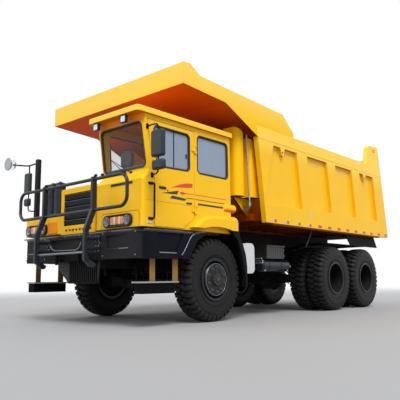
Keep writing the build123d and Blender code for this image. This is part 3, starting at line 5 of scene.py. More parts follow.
import bpy
import numpy as np
from mathutils import Matrix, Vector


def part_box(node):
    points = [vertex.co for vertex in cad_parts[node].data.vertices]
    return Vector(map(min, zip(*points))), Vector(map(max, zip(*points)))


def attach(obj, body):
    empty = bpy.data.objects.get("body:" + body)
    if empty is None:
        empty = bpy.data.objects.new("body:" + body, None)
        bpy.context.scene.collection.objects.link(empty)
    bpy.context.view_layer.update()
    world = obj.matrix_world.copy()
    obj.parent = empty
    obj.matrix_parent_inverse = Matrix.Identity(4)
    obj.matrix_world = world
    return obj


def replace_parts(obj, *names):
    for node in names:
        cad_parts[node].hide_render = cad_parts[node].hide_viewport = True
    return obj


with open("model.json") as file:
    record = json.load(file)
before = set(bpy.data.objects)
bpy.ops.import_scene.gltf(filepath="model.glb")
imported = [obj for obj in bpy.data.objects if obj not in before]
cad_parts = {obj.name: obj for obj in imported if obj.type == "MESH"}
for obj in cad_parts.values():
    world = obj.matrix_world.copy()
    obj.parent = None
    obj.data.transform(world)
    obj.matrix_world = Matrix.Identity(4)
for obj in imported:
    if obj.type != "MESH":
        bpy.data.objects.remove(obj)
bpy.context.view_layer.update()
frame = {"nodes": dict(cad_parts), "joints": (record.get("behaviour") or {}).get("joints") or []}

bl_info = {
    "name": "Mining Dump Truck",
    "version": (1, 0, 0),
    "blender": (4, 5, 0),
    "location": "3D View > Sidebar > Truck",
    "description": "Builds the finishes and fittings of a mining dump truck round its packed model",
    "category": "Object",
}

X, Y, Z, DOWN = range(4)   # axes of a zone; DOWN is how far a face looks down
UP, LEFT, FORWARD, BACK = (0, 0, 1), (1, 0, 0), (0, -1, 0), (0, 1, 0)
JOINTS = {joint["name"]: joint for joint in frame["joints"]}
FRONT_AXLE_Y = JOINTS["steer_left"]["pos_m"][1]


def aft(distance):
    """Y of a point this far behind the front axle, in metres."""
    return FRONT_AXLE_Y + distance


CAB_FRONT = aft(-1.650)
GLASS_IN = 0.026
CAB_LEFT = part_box("door_glass")[1].x + GLASS_IN
CAB_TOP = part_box("cab_roof")[0].z
BED_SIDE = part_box("bed_sides")[1].x
DECK_Z = 1.800
AXLE_Z = JOINTS["front_left_roll"]["pos_m"][2]
BUMPER_FACE = aft(-1.770)


# ---- shapes: a form is (points, faces) ----
def unit(vectors):
    """Vectors divided by their lengths."""
    vectors = np.asarray(vectors, float)
    return vectors / np.maximum(np.linalg.norm(vectors, axis=-1, keepdims=True), 1e-12)


def outward(form):
    """A closed form with its faces turned out: reversed if the sum of its signed cone volumes is negative."""
    points, faces = form
    volume = 0.0
    for size in {len(face) for face in faces}:
        corners = points[np.array([face for face in faces if len(face) == size])]
        fans = np.cross(corners[:, 1:-1], corners[:, 2:])
        volume += np.einsum("ik,ijk->", corners[:, 0], fans)
    return form if volume > 0 else (points, [face[::-1] for face in faces])


def joined(forms):
    """Several forms as one."""
    points, faces, start = [], [], 0
    for form_points, form_faces in forms:
        points.append(form_points)
        faces += [tuple(i + start for i in face) for face in form_faces]
        start += len(form_points)
    return np.concatenate(points), faces


def grid(points, wrap_rows=False, wrap_columns=False, caps=False):
    """Quads over a rows x columns array of points, closed along either way, with flat caps on the end rows."""
    rows, columns = points.shape[:2]
    index = np.arange(rows * columns).reshape(rows, columns)
    if wrap_rows:
        index = np.vstack([index, index[:1]])
    if wrap_columns:
        index = np.hstack([index, index[:, :1]])
    quads = np.stack([index[:-1, :-1], index[1:, :-1], index[1:, 1:], index[:-1, 1:]], -1).reshape(-1, 4)
    faces = [tuple(quad) for quad in quads.tolist()]
    if caps:
        ends = np.arange(rows * columns).reshape(rows, columns)
        faces += [tuple(ends[0][::-1].tolist()), tuple(ends[-1].tolist())]
    return points.reshape(-1, 3), faces


def side_axes(axis):
    """Two directions square to an axis."""
    axis = unit(axis)
    helper = np.eye(3)[np.argmin(np.abs(axis))]
    first = unit(np.cross(helper, axis))
    return first, np.cross(axis, first)


def lathe(profile, centre, axis=LEFT, segments=48, closed=False):
    """A profile of (along the axis, radius) turned about an axis through a centre."""
    profile = np.asarray(profile, float)
    axis = unit(axis)
    first, second = side_axes(axis)
    turn = np.linspace(0, 2 * math.pi, segments, endpoint=False)
    ring = np.cos(turn)[:, None] * first + np.sin(turn)[:, None] * second
    points = np.asarray(centre) + profile[:, None, :1] * axis + profile[:, None, 1:] * ring
    return outward(grid(points, wrap_rows=closed, wrap_columns=True, caps=not closed))


def collar(spot, half, inner, outer, axis=UP, segments=40):
    """A plain ring round an axis."""
    profile = [(-half, inner), (-half, outer), (half, outer), (half, inner)]
    return lathe(profile, spot, axis, segments, closed=True)


def stub(spot, out, radius, length, tip, tip_radius, segments=20):
    """A turned plug: a cylinder of a length that ends in a cone with its tip's place and radius."""
    return lathe([(0.0, radius), (length, radius), (tip, tip_radius)], spot, out, segments)


def rounded(corners, radius, steps=6):
    """A polygon whose corners are arcs: each arc lies between the two points one tangent length from its corner."""
    corners = np.asarray(corners, float)
    before = unit(np.roll(corners, 1, 0) - corners)
    after = unit(np.roll(corners, -1, 0) - corners)
    half = np.arccos(np.clip((before * after).sum(1), -1, 1)) / 2
    middle = corners + unit(before + after) * (radius / np.sin(half))[:, None]
    tangent = (radius / np.tan(half))[:, None]
    start, end = corners + before * tangent, corners + after * tangent
    t = np.linspace(0, 1, steps + 1)[None, :, None]
    sweep = (math.pi - 2 * half)[:, None, None]
    arm_a, arm_b = (start - middle)[:, None], (end - middle)[:, None]
    arc = (np.sin((1 - t) * sweep) * arm_a + np.sin(t * sweep) * arm_b) / np.sin(sweep)
    return (middle[:, None] + arc).reshape(-1, 2)


def rectangle(x0, x1, z0, z1):
    """The four corners of a rectangle."""
    return [(x0, z0), (x1, z0), (x1, z1), (x0, z1)]


def panel(x0, x1, z0, z1, radius, steps=4):
    """A rectangle with rounded corners."""
    return rounded(rectangle(x0, x1, z0, z1), radius, steps)


def inset(outline, amounts):
    """An outline moved inwards by each amount: every corner goes along the mean of its edges' normals."""
    outline = np.asarray(outline, float)
    edge = unit(np.roll(outline, -1, 0) - outline)
    normal = np.stack([-edge[:, 1], edge[:, 0]], 1)
    corner = unit(normal + np.roll(normal, 1, 0))
    stretch = 1 / np.maximum((corner * normal).sum(1), 0.3)
    area = (outline[:, 0] * np.roll(outline[:, 1], -1) - np.roll(outline[:, 0], -1) * outline[:, 1]).sum()
    return outline + np.sign(area) * corner * stretch[:, None] * np.asarray(amounts)[:, None, None]


def on_plane(flat, depth, plane):
    """Flat coordinates and a depth as points: the depth is along x, y or z."""
    depth = np.broadcast_to(np.asarray(depth, float), flat.shape[:-1])
    order = {"x": (2, 0, 1), "y": (0, 2, 1), "z": (0, 1, 2)}[plane]
    stacked = np.stack([flat[..., 0], flat[..., 1], depth], -1)
    return stacked[..., order]


def plate(outline, rings, plane):
    """An outline carried through rings of (inset, depth), with flat caps."""
    rings = np.asarray(rings, float)
    return outward(grid(on_plane(inset(outline, rings[:, 0]), rings[:, 1][:, None], plane), wrap_columns=True,
                        caps=True))


def raised(outline, foot, edge, face, draw, plane):
    """A raised plate: upright from its foot to an edge, then drawn in to its face."""
    return plate(outline, [(0, foot), (0, edge), (draw, face)], plane)


def slab(outline, low, high, plane, chamfer=0.002):
    """A plate of even thickness with chamfered edges."""
    rings = [(chamfer, low), (0, low + chamfer), (0, high - chamfer), (chamfer, high)]
    return plate(outline, rings, plane)


def brick(low, high, chamfer=0.003):
    """A chamfered box between two opposite corners."""
    low, high = np.minimum(low, high), np.maximum(low, high)
    return slab(rectangle(low[0], high[0], low[2], high[2]), low[1], high[1], "y", chamfer)


def tube(path, radius, sides=12, closed=False):
    """A round section carried along points; its frame is square to the path and to one fixed direction."""
    path = np.asarray(path, float)
    if closed:
        along = unit(unit(np.roll(path, -1, 0) - path) + unit(path - np.roll(path, 1, 0)))
    else:
        step = unit(np.diff(path, axis=0))
        along = unit(np.vstack([step[:1], step[1:] + step[:-1], step[-1:]]))
    spread = path.max(0) - path.min(0)
    fixed = np.eye(3)[np.argmin(spread)] + 0.01 * np.array([0.3, 0.5, 0.7])
    first = unit(np.cross(along, fixed))
    second = np.cross(along, first)
    turn = np.linspace(0, 2 * math.pi, sides, endpoint=False)[None, :, None]
    radius = np.broadcast_to(np.asarray(radius, float), (len(path),))[:, None, None]
    ring = radius * (np.cos(turn) * first[:, None] + np.sin(turn) * second[:, None])
    return outward(grid(path[:, None] + ring, wrap_rows=closed, wrap_columns=True, caps=not closed))


def bend(points, radius, steps=6):
    """A path whose inner corners are rounded: quadratic curves between points one radius from each corner."""
    points = np.asarray(points, float)
    before, after = unit(points[:-2] - points[1:-1]), unit(points[2:] - points[1:-1])
    t = np.linspace(0, 1, steps + 1)[None, :, None]
    start, end = points[1:-1] + before * radius, points[1:-1] + after * radius
    arcs = (1 - t) ** 2 * start[:, None] + 2 * t * (1 - t) * points[1:-1, None] + t ** 2 * end[:, None]
    return np.vstack([points[:1], arcs.reshape(-1, 3), points[-1:]])


def band(loop, normal, section):
    """A closed section of (outwards, along the normal) carried round a flat closed loop of points."""
    loop, normal = np.asarray(loop, float), unit(normal)
    edge = unit(np.roll(loop, -1, 0) - loop)
    along = unit(edge + np.roll(edge, 1, 0))
    out = np.cross(along, normal)
    if ((loop - loop.mean(0)) * out).sum() < 0:
        out = -out
    section = np.asarray(section, float)
    points = loop[:, None] + section[None, :, :1] * out[:, None] + section[None, :, 1:] * normal
    return outward(grid(points, wrap_rows=True, wrap_columns=True))


def placed(form, places, direction=UP):
    """Copies of a form made round the origin along +Z: turned to a direction and moved to each place."""
    points, faces = form
    first, second = side_axes(direction)
    basis = np.stack([first, second, unit(direction)])
    places = np.asarray(places, float).reshape(-1, 3)
    spread = (points @ basis)[None] + places[:, None]
    copies = [tuple(i + k * len(points) for i in face) for k in range(len(places)) for face in faces]
    return spread.reshape(-1, 3), copies


def mirrored(form):
    """A form reflected to the other side of the truck."""
    points, faces = form
    return points * (-1, 1, 1), [face[::-1] for face in faces]


def circle_places(count, radius, centre, axis=LEFT, start=0.0):
    """Places on a circle about an axis."""
    first, second = side_axes(axis)
    turn = start + np.arange(count) * 2 * math.pi / count
    return np.asarray(centre) + radius * (np.cos(turn)[:, None] * first + np.sin(turn)[:, None] * second)


def polygon(count, radius):
    """A regular polygon round the origin."""
    turn = np.arange(count) * 2 * math.pi / count
    return np.stack([radius * np.cos(turn), radius * np.sin(turn)], 1)


def bolt(radius, height):
    """A hexagon head on a washer, along +Z."""
    head = raised(polygon(6, radius), 0, height * 0.8, height, radius * 0.12, "z")
    washer = raised(polygon(12, radius * 1.45), -0.001, height * 0.18, height * 0.22, radius * 0.1, "z")
    return joined([head, washer])


def stud_nut(radius, height):
    """A wheel nut with its washer and the stud's end, along +Z."""
    stud = raised(polygon(10, radius * 0.5), 0, height * 1.5, height * 1.62, radius * 0.12, "z")
    return joined([bolt(radius, height), stud])


def face_of(node, keep):
    """The corners of a flat pane's face in order round its middle: those that keep() picks, sorted by angle."""
    vertices = frame["nodes"][node].data.vertices
    points = np.empty(len(vertices) * 3, np.float32)
    vertices.foreach_get("co", points)
    points = np.unique(np.round(points.reshape(-1, 3).astype(float), 5), axis=0)
    points = points[keep(points)]
    spread = points - points.mean(0)
    axes = np.linalg.svd(spread, full_matrices=False)[2]
    angle = np.arctan2(spread @ axes[1], spread @ axes[0])
    return points[np.argsort(angle)]


def make_piece(name, forms, finish, body="chassis", attributes=None, sharp=32.0):
    """A mesh object of forms with its finish, riding on a body, smooth except at edges sharper than an angle."""
    points, faces = joined(forms)
    mesh = bpy.data.meshes.new(name)
    mesh.from_pydata(points.astype(np.float32).tolist(), [], faces)
    mesh.polygons.foreach_set("use_smooth", np.ones(len(mesh.polygons), bool))
    mesh.set_sharp_from_angle(angle=math.radians(sharp))
    for key, values in (attributes or {}).items():
        mesh.attributes.new(key, "FLOAT", "POINT").data.foreach_set("value", np.asarray(values, np.float32))
    mesh.update()
    piece = bpy.data.objects.new(name, mesh)
    bpy.context.scene.collection.objects.link(piece)
    mesh.materials.append(FINISHES[finish])
    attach(piece, body)
    return piece


# ---- finishes ----
class Wire:
    """A node's output; arithmetic on it adds Math nodes."""

    def __init__(self, shade, socket):
        self.shade, self.socket = shade, socket

    def maths(self, operation, *values, clamp=False):
        """One Math node on this value and others."""
        inputs = dict(enumerate((self,) + values))
        return self.shade.node("ShaderNodeMath", {"operation": operation, "use_clamp": clamp}, inputs)

    def __add__(self, other):
        return self.maths("ADD", other)

    def __mul__(self, other):
        return self.maths("MULTIPLY", other)

    def __sub__(self, other):
        return self.maths("SUBTRACT", other)

    def __rsub__(self, other):
        return self.shade.node("ShaderNodeMath", {"operation": "SUBTRACT"}, {0: other, 1: self})

    __radd__, __rmul__ = __add__, __mul__

    def clamped(self):
        """The value held between 0 and 1."""
        return self.maths("ADD", 0.0, clamp=True)

    def between(self, low, high):
        """0 at low, 1 at high, with a smooth step between."""
        settings = {"interpolation_type": "SMOOTHSTEP"}
        return self.shade.node("ShaderNodeMapRange", settings, {0: self, 1: low, 2: high, 3: 0.0, 4: 1.0})


class Shade:
    """The node tree of one material or of the world."""

    def __init__(self, owner, shader="Principled BSDF"):
        owner.use_nodes = True
        self.tree = owner.node_tree
        self.shader = self.tree.nodes.get(shader)

    def node(self, kind, settings=None, inputs=None, output=0):
        """A node of a type, its settings set first, then its sockets' values or links."""
        made = self.tree.nodes.new(kind)
        for key, value in (settings or {}).items():
            setattr(made, key, value)
        for key, value in (inputs or {}).items():
            self.feed(made.inputs[key], value)
        return Wire(self, made.outputs[output])

    def feed(self, socket, value):
        """A link or a plain value for a socket."""
        if isinstance(value, Wire):
            self.tree.links.new(value.socket, socket)
        else:
            socket.default_value = value

    def place(self):
        """The piece's own coordinates, in metres."""
        return self.node("ShaderNodeTexCoord", output="Object")

    def facing_down(self):
        """How far a face looks down: 1 straight down, 0 upright."""
        return self.part(self.node("ShaderNodeTexCoord", output="Normal"), Z) * -1.0

    def part(self, vector, axis):
        """One coordinate of a vector."""
        return self.node("ShaderNodeSeparateXYZ", inputs={0: vector}, output=axis)

    def noise(self, scale, detail=3.0, rough=0.55, stretch=(1, 1, 1)):
        """Fractal noise in the piece's coordinates; stretch multiplies them first."""
        vector = self.place()
        if stretch != (1, 1, 1):
            vector = self.node("ShaderNodeMapping", inputs={"Vector": vector, "Scale": stretch})
        return self.node("ShaderNodeTexNoise", inputs={"Vector": vector, "Scale": scale, "Detail": detail,
                                                       "Roughness": rough})

    def blend(self, factor, first, second):
        """Two colours mixed by a factor."""
        made = self.tree.nodes.new("ShaderNodeMix")
        made.data_type = "RGBA"
        for key, value in (("Factor", factor), ("A", first), ("B", second)):
            socket = [s for s in made.inputs if s.name == key and s.enabled][0]
            self.feed(socket, value + (1,) if isinstance(value, tuple) and len(value) == 3 else value)
        return Wire(self, [s for s in made.outputs if s.enabled][0])

    def bump(self, height, distance, strength=1.0, round_edges=0.0):
        """A bump from a height, on edges rounded by a radius."""
        inputs = {"Height": height, "Distance": distance, "Strength": strength}
        if round_edges:
            inputs["Normal"] = self.node("ShaderNodeBevel", {"samples": 4}, {"Radius": round_edges})
        return self.node("ShaderNodeBump", inputs=inputs)

    def surface(self, **sockets):
        """Feeds the shader's sockets; underscores stand for spaces."""
        for key, value in sockets.items():
            name = " ".join(word if word == "IOR" else word.capitalize() for word in key.split("_"))
            if isinstance(value, tuple) and len(value) == 3:
                value = value + (1,)
            self.feed(self.shader.inputs[name], value)

    def cover(self, factor, over, output):
        """The shader mixed with another by a factor, into the tree's output node."""
        mixed = self.node("ShaderNodeMixShader", inputs={0: factor, 1: Wire(self, self.shader.outputs[0]), 2: over})
        self.feed(self.tree.nodes[output].inputs[0], mixed)


FINISHES = {}
DUST = (0.30, 0.25, 0.19)


def new_shade(name):
    """A new material under a finish's name."""
    material = bpy.data.materials.new(name)
    FINISHES[name] = material
    return Shade(material)


def coated(name, colour, roughness, dust, metallic=0.0, coat=0.0, dust_top=1.6, mottle=0.06, grain=260.0,
           grain_depth=0.00015, edge=0.004, second=None, gloss=0.5, zones=()):
    """A painted, moulded or cast finish: colour mottled by broad noise up to a second colour, dust that thickens
    towards the ground and in patches, fine grain as bump, and softly rounded edges. A zone is another colour that
    paints light or shade, and the smooth steps that bound it: (axis, where it starts, where it is full)."""
    shade = new_shade(name)
    broad = shade.noise(1.3, 4.0)
    fine = shade.noise(grain, 2.0)
    height = shade.part(shade.place(), Z)
    patches = shade.noise(6.0, 5.0, 0.65).between(0.42, 0.75)
    low = 1 - height.between(0.15, dust_top)
    film = (low * 0.75 * dust + patches * (0.35 * dust)).clamped()
    darker = tuple(c * (1 - 2.2 * mottle) for c in colour)
    lighter = second or tuple(min(1.0, c * (1 + mottle)) for c in colour)
    base = shade.blend(broad, darker, lighter)
    for tone, steps in zones:
        factor = 1.0
        for axis, start, full in steps:
            along = shade.facing_down() if axis == DOWN else shade.part(shade.place(), axis)
            factor = along.between(start, full) * factor
        base = shade.blend(factor, base, tone)
    shade.surface(
        base_color=shade.blend(film, base, DUST),
        roughness=(roughness + film * 0.45 + broad * 0.08).clamped(),
        metallic=metallic,
        specular_IOR_level=gloss,
        normal=shade.bump(fine, grain_depth, 0.6, edge),
    )
    if coat:
        shade.surface(coat_weight=(coat - film * coat).clamped(), coat_roughness=0.06)
    return shade


def clear(name, colour, alpha, roughness=0.03, far_alpha=None):
    """Glass or clear plastic: a tinted gloss that shows part of what is behind, streaked with faint dust. Panes
    away from the door's side may be clearer."""
    shade = new_shade(name)
    streak = shade.noise(3.0, 4.0, stretch=(1, 1, 0.25))
    if far_alpha is not None:
        near = shade.part(shade.place(), X).between(1.30, 1.40)
        alpha = near * (alpha - far_alpha) + far_alpha
    shade.surface(
        base_color=shade.blend(streak, tuple(c * 0.9 for c in colour), colour),
        roughness=(roughness + streak * 0.05).clamped(),
        alpha=(streak * 0.06 + (alpha - 0.03)).clamped(),
        specular_IOR_level=0.7,
        normal=shade.bump(shade.noise(1.5), 0.0006, 0.4),
    )
    FINISHES[name].surface_render_method = "BLENDED"


def woven(name, colour, thread):
    """Seat cloth: two crossed sets of fine waves as bump, lighter on the thread tops, with soft sheen."""
    shade = new_shade(name)
    place = shade.place()
    across = shade.part(place, X) * thread
    along = (shade.part(place, Y) + shade.part(place, Z)) * thread
    weave = across.maths("SINE") * along.maths("SINE") * 0.5 + 0.5
    tone = (weave * 0.5 + shade.noise(9.0) * 0.5).clamped()
    shade.surface(
        base_color=shade.blend(tone, tuple(c * 0.6 for c in colour), colour),
        roughness=(0.95 - weave * 0.15).clamped(),
        sheen_weight=0.3,
        normal=shade.bump(weave, 0.0006, 0.8),
    )


def rubber_tyre(name, tread, wall):
    """Tyre rubber: dark in the grooves, dusty on the tops of the lugs, faint rings of wear on the wall; near the bead
    the wall's lighter tone gives way to the tread's darker colour as painted shade in the bead's recess.
    """
    shade = new_shade(name)
    lug = shade.node("ShaderNodeAttribute", {"attribute_name": "lug"}, output="Fac")
    side = shade.node("ShaderNodeAttribute", {"attribute_name": "wall"}, output="Fac")
    grime = shade.noise(14.0, 5.0, 0.6)
    dusty = (lug * 0.030 + side * 0.008 + grime.between(0.45, 0.8) * 0.03).clamped()
    base = shade.blend(side, tread, wall)
    shade.surface(
        base_color=shade.blend(dusty, base, DUST),
        roughness=(0.50 + dusty * 0.6).clamped(),
        specular_IOR_level=0.14,
        normal=shade.bump(shade.noise(180.0, 3.0), 0.0006, 0.7),
    )


def mesh_panel(name, colour, pitch):
    """A pierced sheet: round dark holes on a square pitch, sunk by bump."""
    shade = new_shade(name)
    place = shade.place()
    across = (shade.part(place, X) * (2 * math.pi / pitch)).maths("SINE")
    up = (shade.part(place, Z) * (2 * math.pi / pitch)).maths("SINE")
    hole = (across * up).between(0.15, 0.45)
    shade.surface(
        base_color=shade.blend(hole, colour, (0.003, 0.003, 0.003)),
        roughness=(0.42 + hole * 0.4).clamped(),
        normal=shade.bump(1 - hole, 0.003, 0.8),
    )


def make_finishes(colours, dust):
    """Every finish of the truck, by name."""
    def paint(name, colour, roughness, dusty, **settings):
        coated(name, colour, roughness, dust=dusty * dust, **settings)

    body, trim = tuple(colours.body), tuple(colours.trim)
    yellow = {"second": tuple(colours.body_light), "dusty": 0.04, "dust_top": 2.0, "mottle": 0.02, "grain": 150.0,
              "edge": 0.006}
    cab = {"coat": 0.08, "gloss": 0.18}
    # Painted light: the yellow turns paler from 2.9 m up to 3.3 m.
    top_painted_light = ((0.97, 0.62, 0.06), [(Z, 2.9, 3.3)])
    # Painted shade: faces that look down turn deep orange.
    under = ((0.66, 0.15, 0.003), [(DOWN, 0.05, 0.75)])
    # Painted shade: the band of the cab's front under the visor is orange.
    visor_painted_shade = ((0.88, 0.27, 0.003), [(Z, 3.00, 3.05), (Y, CAB_FRONT + 0.050, CAB_FRONT + 0.030)])
    # Painted light and shade on the tipping body: paler towards the top, orange-brown on the front wall's lower part,
    # deep orange on faces that look down, and darker still on those further back under the canopy.
    bed_zones = (
        ((0.97, 0.63, 0.10), [(Z, 3.35, 3.95)]),
        ((0.30, 0.045, 0.003), [(Z, 2.25, 1.80), (Y, aft(0.98), aft(1.06))]),
        ((0.68, 0.095, 0.001), [(DOWN, 0.02, 0.30)]),
        ((0.17, 0.014, 0.001), [(DOWN, 0.02, 0.30), (Y, aft(-0.1), aft(0.8))]),
    )
    # Painted shade on the bumper: the wing's outer face on the +x side is darker, and the face below the shelf is near
    # black.
    bumper_zones = (
        ((0.004, 0.005, 0.009), [(X, 1.50, 1.56)]),
        ((0.003, 0.003, 0.004), [(Z, 1.105, 1.085), (X, 0.76, 0.70)]),
    )
    paint("yellow_gloss", body, 0.36, zones=(top_painted_light, under), **cab, **yellow)
    paint("cab_yellow", body, 0.36, zones=(visor_painted_shade, under), **cab, **yellow)
    paint("bed_yellow", (0.97, 0.535, 0.005), 0.5, gloss=0.06, zones=bed_zones, **yellow)
    # The hatch's orange is a painted reflection of the ground on the yellow paint.
    paint("hatch_orange", (0.93, 0.30, 0.004), 0.45, 0.04, gloss=0.08, mottle=0.03)
    # The sills' orange-brown is painted shade under the body's lower edge.
    paint("sill_brown", (0.20, 0.045, 0.005), 0.5, 0.04, mottle=0.08, gloss=0.06)
    paint("trim_satin", trim, 0.34, 0.05, dust_top=1.3, mottle=0.15, edge=0.007, gloss=0.06, zones=bumper_zones)
    paint("bar_blue", (0.015, 0.019, 0.026), 0.34, 0.04, coat=0.15, mottle=0.1, edge=0.007, gloss=0.25)
    paint("trim_gloss", (0.012, 0.016, 0.026), 0.22, 0.05, coat=0.5, mottle=0.1, edge=0.0, gloss=0.4)
    paint("frame_black", (0.005, 0.005, 0.006), 0.55, 0.05, dust_top=1.2, mottle=0.2, gloss=0.07)
    paint("tank_navy", (0.005, 0.008, 0.017), 0.22, 0.04, coat=0.35, gloss=0.25, dust_top=1.2, mottle=0.1)
    paint("cast_dark", (0.011, 0.011, 0.012), 0.6, 0.18, dust_top=1.2, mottle=0.2, grain=90.0, grain_depth=0.0006,
          gloss=0.12)
    paint("wheel_black", (0.006, 0.007, 0.010), 0.32, 0.10, coat=0.1, dust_top=1.2, mottle=0.2, gloss=0.25)
    # Near-black discs stand in as painted shade for the front wheel's hand holes.
    paint("hole_black", (0.0015, 0.0015, 0.002), 0.8, 0.0, gloss=0.0)
    paint("rubber_sheet", (0.005, 0.006, 0.007), 0.55, 0.04, dust_top=1.2, grain=120.0, gloss=0.08)
    paint("black_plastic", (0.016, 0.021, 0.034), 0.36, 0.1, mottle=0.1, grain=320.0, grain_depth=0.0003, gloss=0.35)
    paint("seal_rubber", (0.010, 0.010, 0.012), 0.5, 0.2, edge=0.0)
    paint("grille_dark", (0.010, 0.011, 0.015), 0.5, 0.03, mottle=0.1, gloss=0.15)
    paint("white_tank", (0.62, 0.64, 0.66), 0.25, 0.25, coat=0.4, mottle=0.03)
    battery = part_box("battery_box")[0].y
    # Painted shade: the battery box's face towards the front is near black.
    paint("battery_grey", (0.085, 0.092, 0.092), 0.5, 0.3, mottle=0.12, gloss=0.2,
          zones=[((0.010, 0.010, 0.011), [(Y, battery + 0.040, battery + 0.020)])])
    paint("cabin_grey", (0.21, 0.235, 0.265), 0.6, 0.05, mottle=0.08, grain=300.0, gloss=0.25)
    paint("cabin_lining", (0.10, 0.085, 0.075), 0.7, 0.1, mottle=0.1, grain=350.0, grain_depth=0.0004)
    paint("hoist_chrome", (0.72, 0.72, 0.74), 0.14, 0.12, metallic=1.0, mottle=0.05, grain=60.0)
    paint("galvanised", (0.40, 0.42, 0.44), 0.42, 0.2, metallic=0.6, mottle=0.15, grain=40.0)
    paint("nut_steel", (0.085, 0.088, 0.095), 0.40, 0.15, metallic=0.5, mottle=0.15, edge=0.0, gloss=0.3)
    # (name, colour, roughness, dust, mottle, metallic) of thin pieces whose edges stay sharp
    for name, colour, roughness, dusty, mottle, metallic in (
            ("dull_steel", (0.30, 0.30, 0.31), 0.38, 0.35, 0.15, 0.8),
            ("stripe_red", (0.68, 0.050, 0.012), 0.3, 0.1, 0.03, 0.0),
            ("stripe_dark", (0.022, 0.026, 0.034), 0.32, 0.1, 0.05, 0.0),
            ("marker_red", (0.50, 0.045, 0.012), 0.22, 0.15, 0.05, 0.0),
            ("marker_white", (0.52, 0.52, 0.50), 0.22, 0.15, 0.03, 0.0),
            ("reflector", (0.30, 0.31, 0.33), 0.22, 0.05, 0.1, 1.0),
            # edge_sheen: pale strips, tubes and rings that paint highlights along edges.
            ("edge_sheen", (0.22, 0.24, 0.28), 0.3, 0.05, 0.2, 0.4),
            ("mirror_face", (0.78, 0.80, 0.82), 0.03, 0.04, 0.02, 1.0)):
        paint(name, colour, roughness, dusty, metallic=metallic, mottle=mottle, edge=0.0)
    # (name, colour, roughness, dust, mottle, coat, grain) of the lamps' plastics
    for name, colour, roughness, dusty, mottle, coat, grain in (
            ("lamp_cell", (0.70, 0.62, 0.52), 0.25, 0.05, 0.1, 0.4, 60.0),
            ("amber", (0.84, 0.24, 0.010), 0.18, 0.1, 0.05, 0.6, 70.0),
            ("red_lens", (0.50, 0.012, 0.012), 0.18, 0.1, 0.05, 0.6, 70.0),
            ("lamp_white", (0.62, 0.70, 0.80), 0.2, 0.05, 0.05, 0.5, 60.0)):
        paint(name, colour, roughness, dusty, mottle=mottle, coat=coat, grain=grain, edge=0.0)
    clear("side_glass", (0.29, 0.37, 0.48), 0.82, far_alpha=0.12)
    clear("door_pane", (0.30, 0.38, 0.49), 0.76)
    clear("screen_glass", (0.14, 0.12, 0.11), 0.12)
    clear("lens_glass", (0.30, 0.33, 0.36), 0.16)
    woven("seat_cloth", (0.055, 0.052, 0.055), 420.0)
    # The tread's colour also paints the shade in the recess by the bead.
    rubber_tyre("tyre_rubber", (0.009, 0.0095, 0.011), (0.011, 0.011, 0.012))
    mesh_panel("guard_black", (0.006, 0.006, 0.007), 0.035)
    floor_finish(body)
    step_finish()


def floor_finish(body):
    """The tipping body's floor: yellow paint above; painted shade turns faces that look down deep orange and its lower
    faces below 1.8 m orange-brown; dark below.
    """
    zones = (
        ((0.30, 0.045, 0.003), [(DOWN, 0.05, 0.75)]),
        ((0.16, 0.034, 0.004), [(Z, 1.86, 1.80), (DOWN, -0.6, -0.3)]),
        ((0.014, 0.008, 0.006), [(Z, 1.676, 1.668)]),
    )
    coated("floor_two_tone", body, 0.5, dust=0.04, dust_top=1.0, mottle=0.02, gloss=0.06, zones=zones)


def step_finish():
    """Steps: tan straps above a height, dark below, with a pale line at the tread's edge that paints a highlight."""
    shade = coated("steps_two_tone", (0.016, 0.017, 0.02), 0.6, dust=0.1, mottle=0.15, gloss=0.05)
    height = shade.part(shade.place(), Z)
    strap = height.between(0.668, 0.672)
    # A pale line along the tread's edge: a painted highlight.
    tread = height.between(0.640, 0.646) * (1 - height.between(0.664, 0.670))
    grain = shade.noise(9.0, 4.0)
    lower = shade.blend(tread * 0.65, (0.004, 0.004, 0.005), (0.50, 0.50, 0.48))
    upper = shade.blend(grain, (0.19, 0.098, 0.026), (0.36, 0.215, 0.062))
    shade.surface(base_color=shade.blend(strap, lower, upper))


NODE_FINISH = {
    "yellow_gloss": ("hood", "cab_roof", "left_door", "fenders", "tailgate", "bed_sides", "hoist_barrel"),
    "cab_yellow": ("cab_shell",),
    "bed_yellow": ("bed_front_wall", "bed_canopy"),
    "trim_satin": ("bumper",),
    "bar_blue": ("bull_bar",),
    "guard_black": ("radiator_guard",),
    "steps_two_tone": ("steps",),
    "floor_two_tone": ("bed_floor",),
    "door_pane": ("door_glass",),
    "frame_black": ("chassis_frame", "fuel_tank", "tail_bar", "springs", "drive_shafts"),
    "tank_navy": ("air_tank",),
    "cast_dark": ("axles", "engine_and_gearbox", "knuckle_left", "knuckle_right", "tie_rod"),
    "side_glass": ("cab_glass",),
    "screen_glass": ("windscreen",),
    "hoist_chrome": ("hoist_stage_1", "hoist_stage_2", "hoist_rod"),
    "grille_dark": ("grille",),
    "black_plastic": ("air_cleaner", "lamps", "mirrors"),
    "cabin_grey": ("dashboard",),
    "cabin_lining": ("driver_seat",),
    "rubber_sheet": ("mud_flaps", "rear_mudguards", "bed_flaps"),
    "white_tank": ("hydraulic_tank",),
    "battery_grey": ("battery_box",),
}


# ---- settings ----
def colour_property(name, description, default):
    """A colour among the settings."""
    return bpy.props.FloatVectorProperty(name=name, description=description, subtype="COLOR", size=3, min=0, max=1,
                                         default=default)


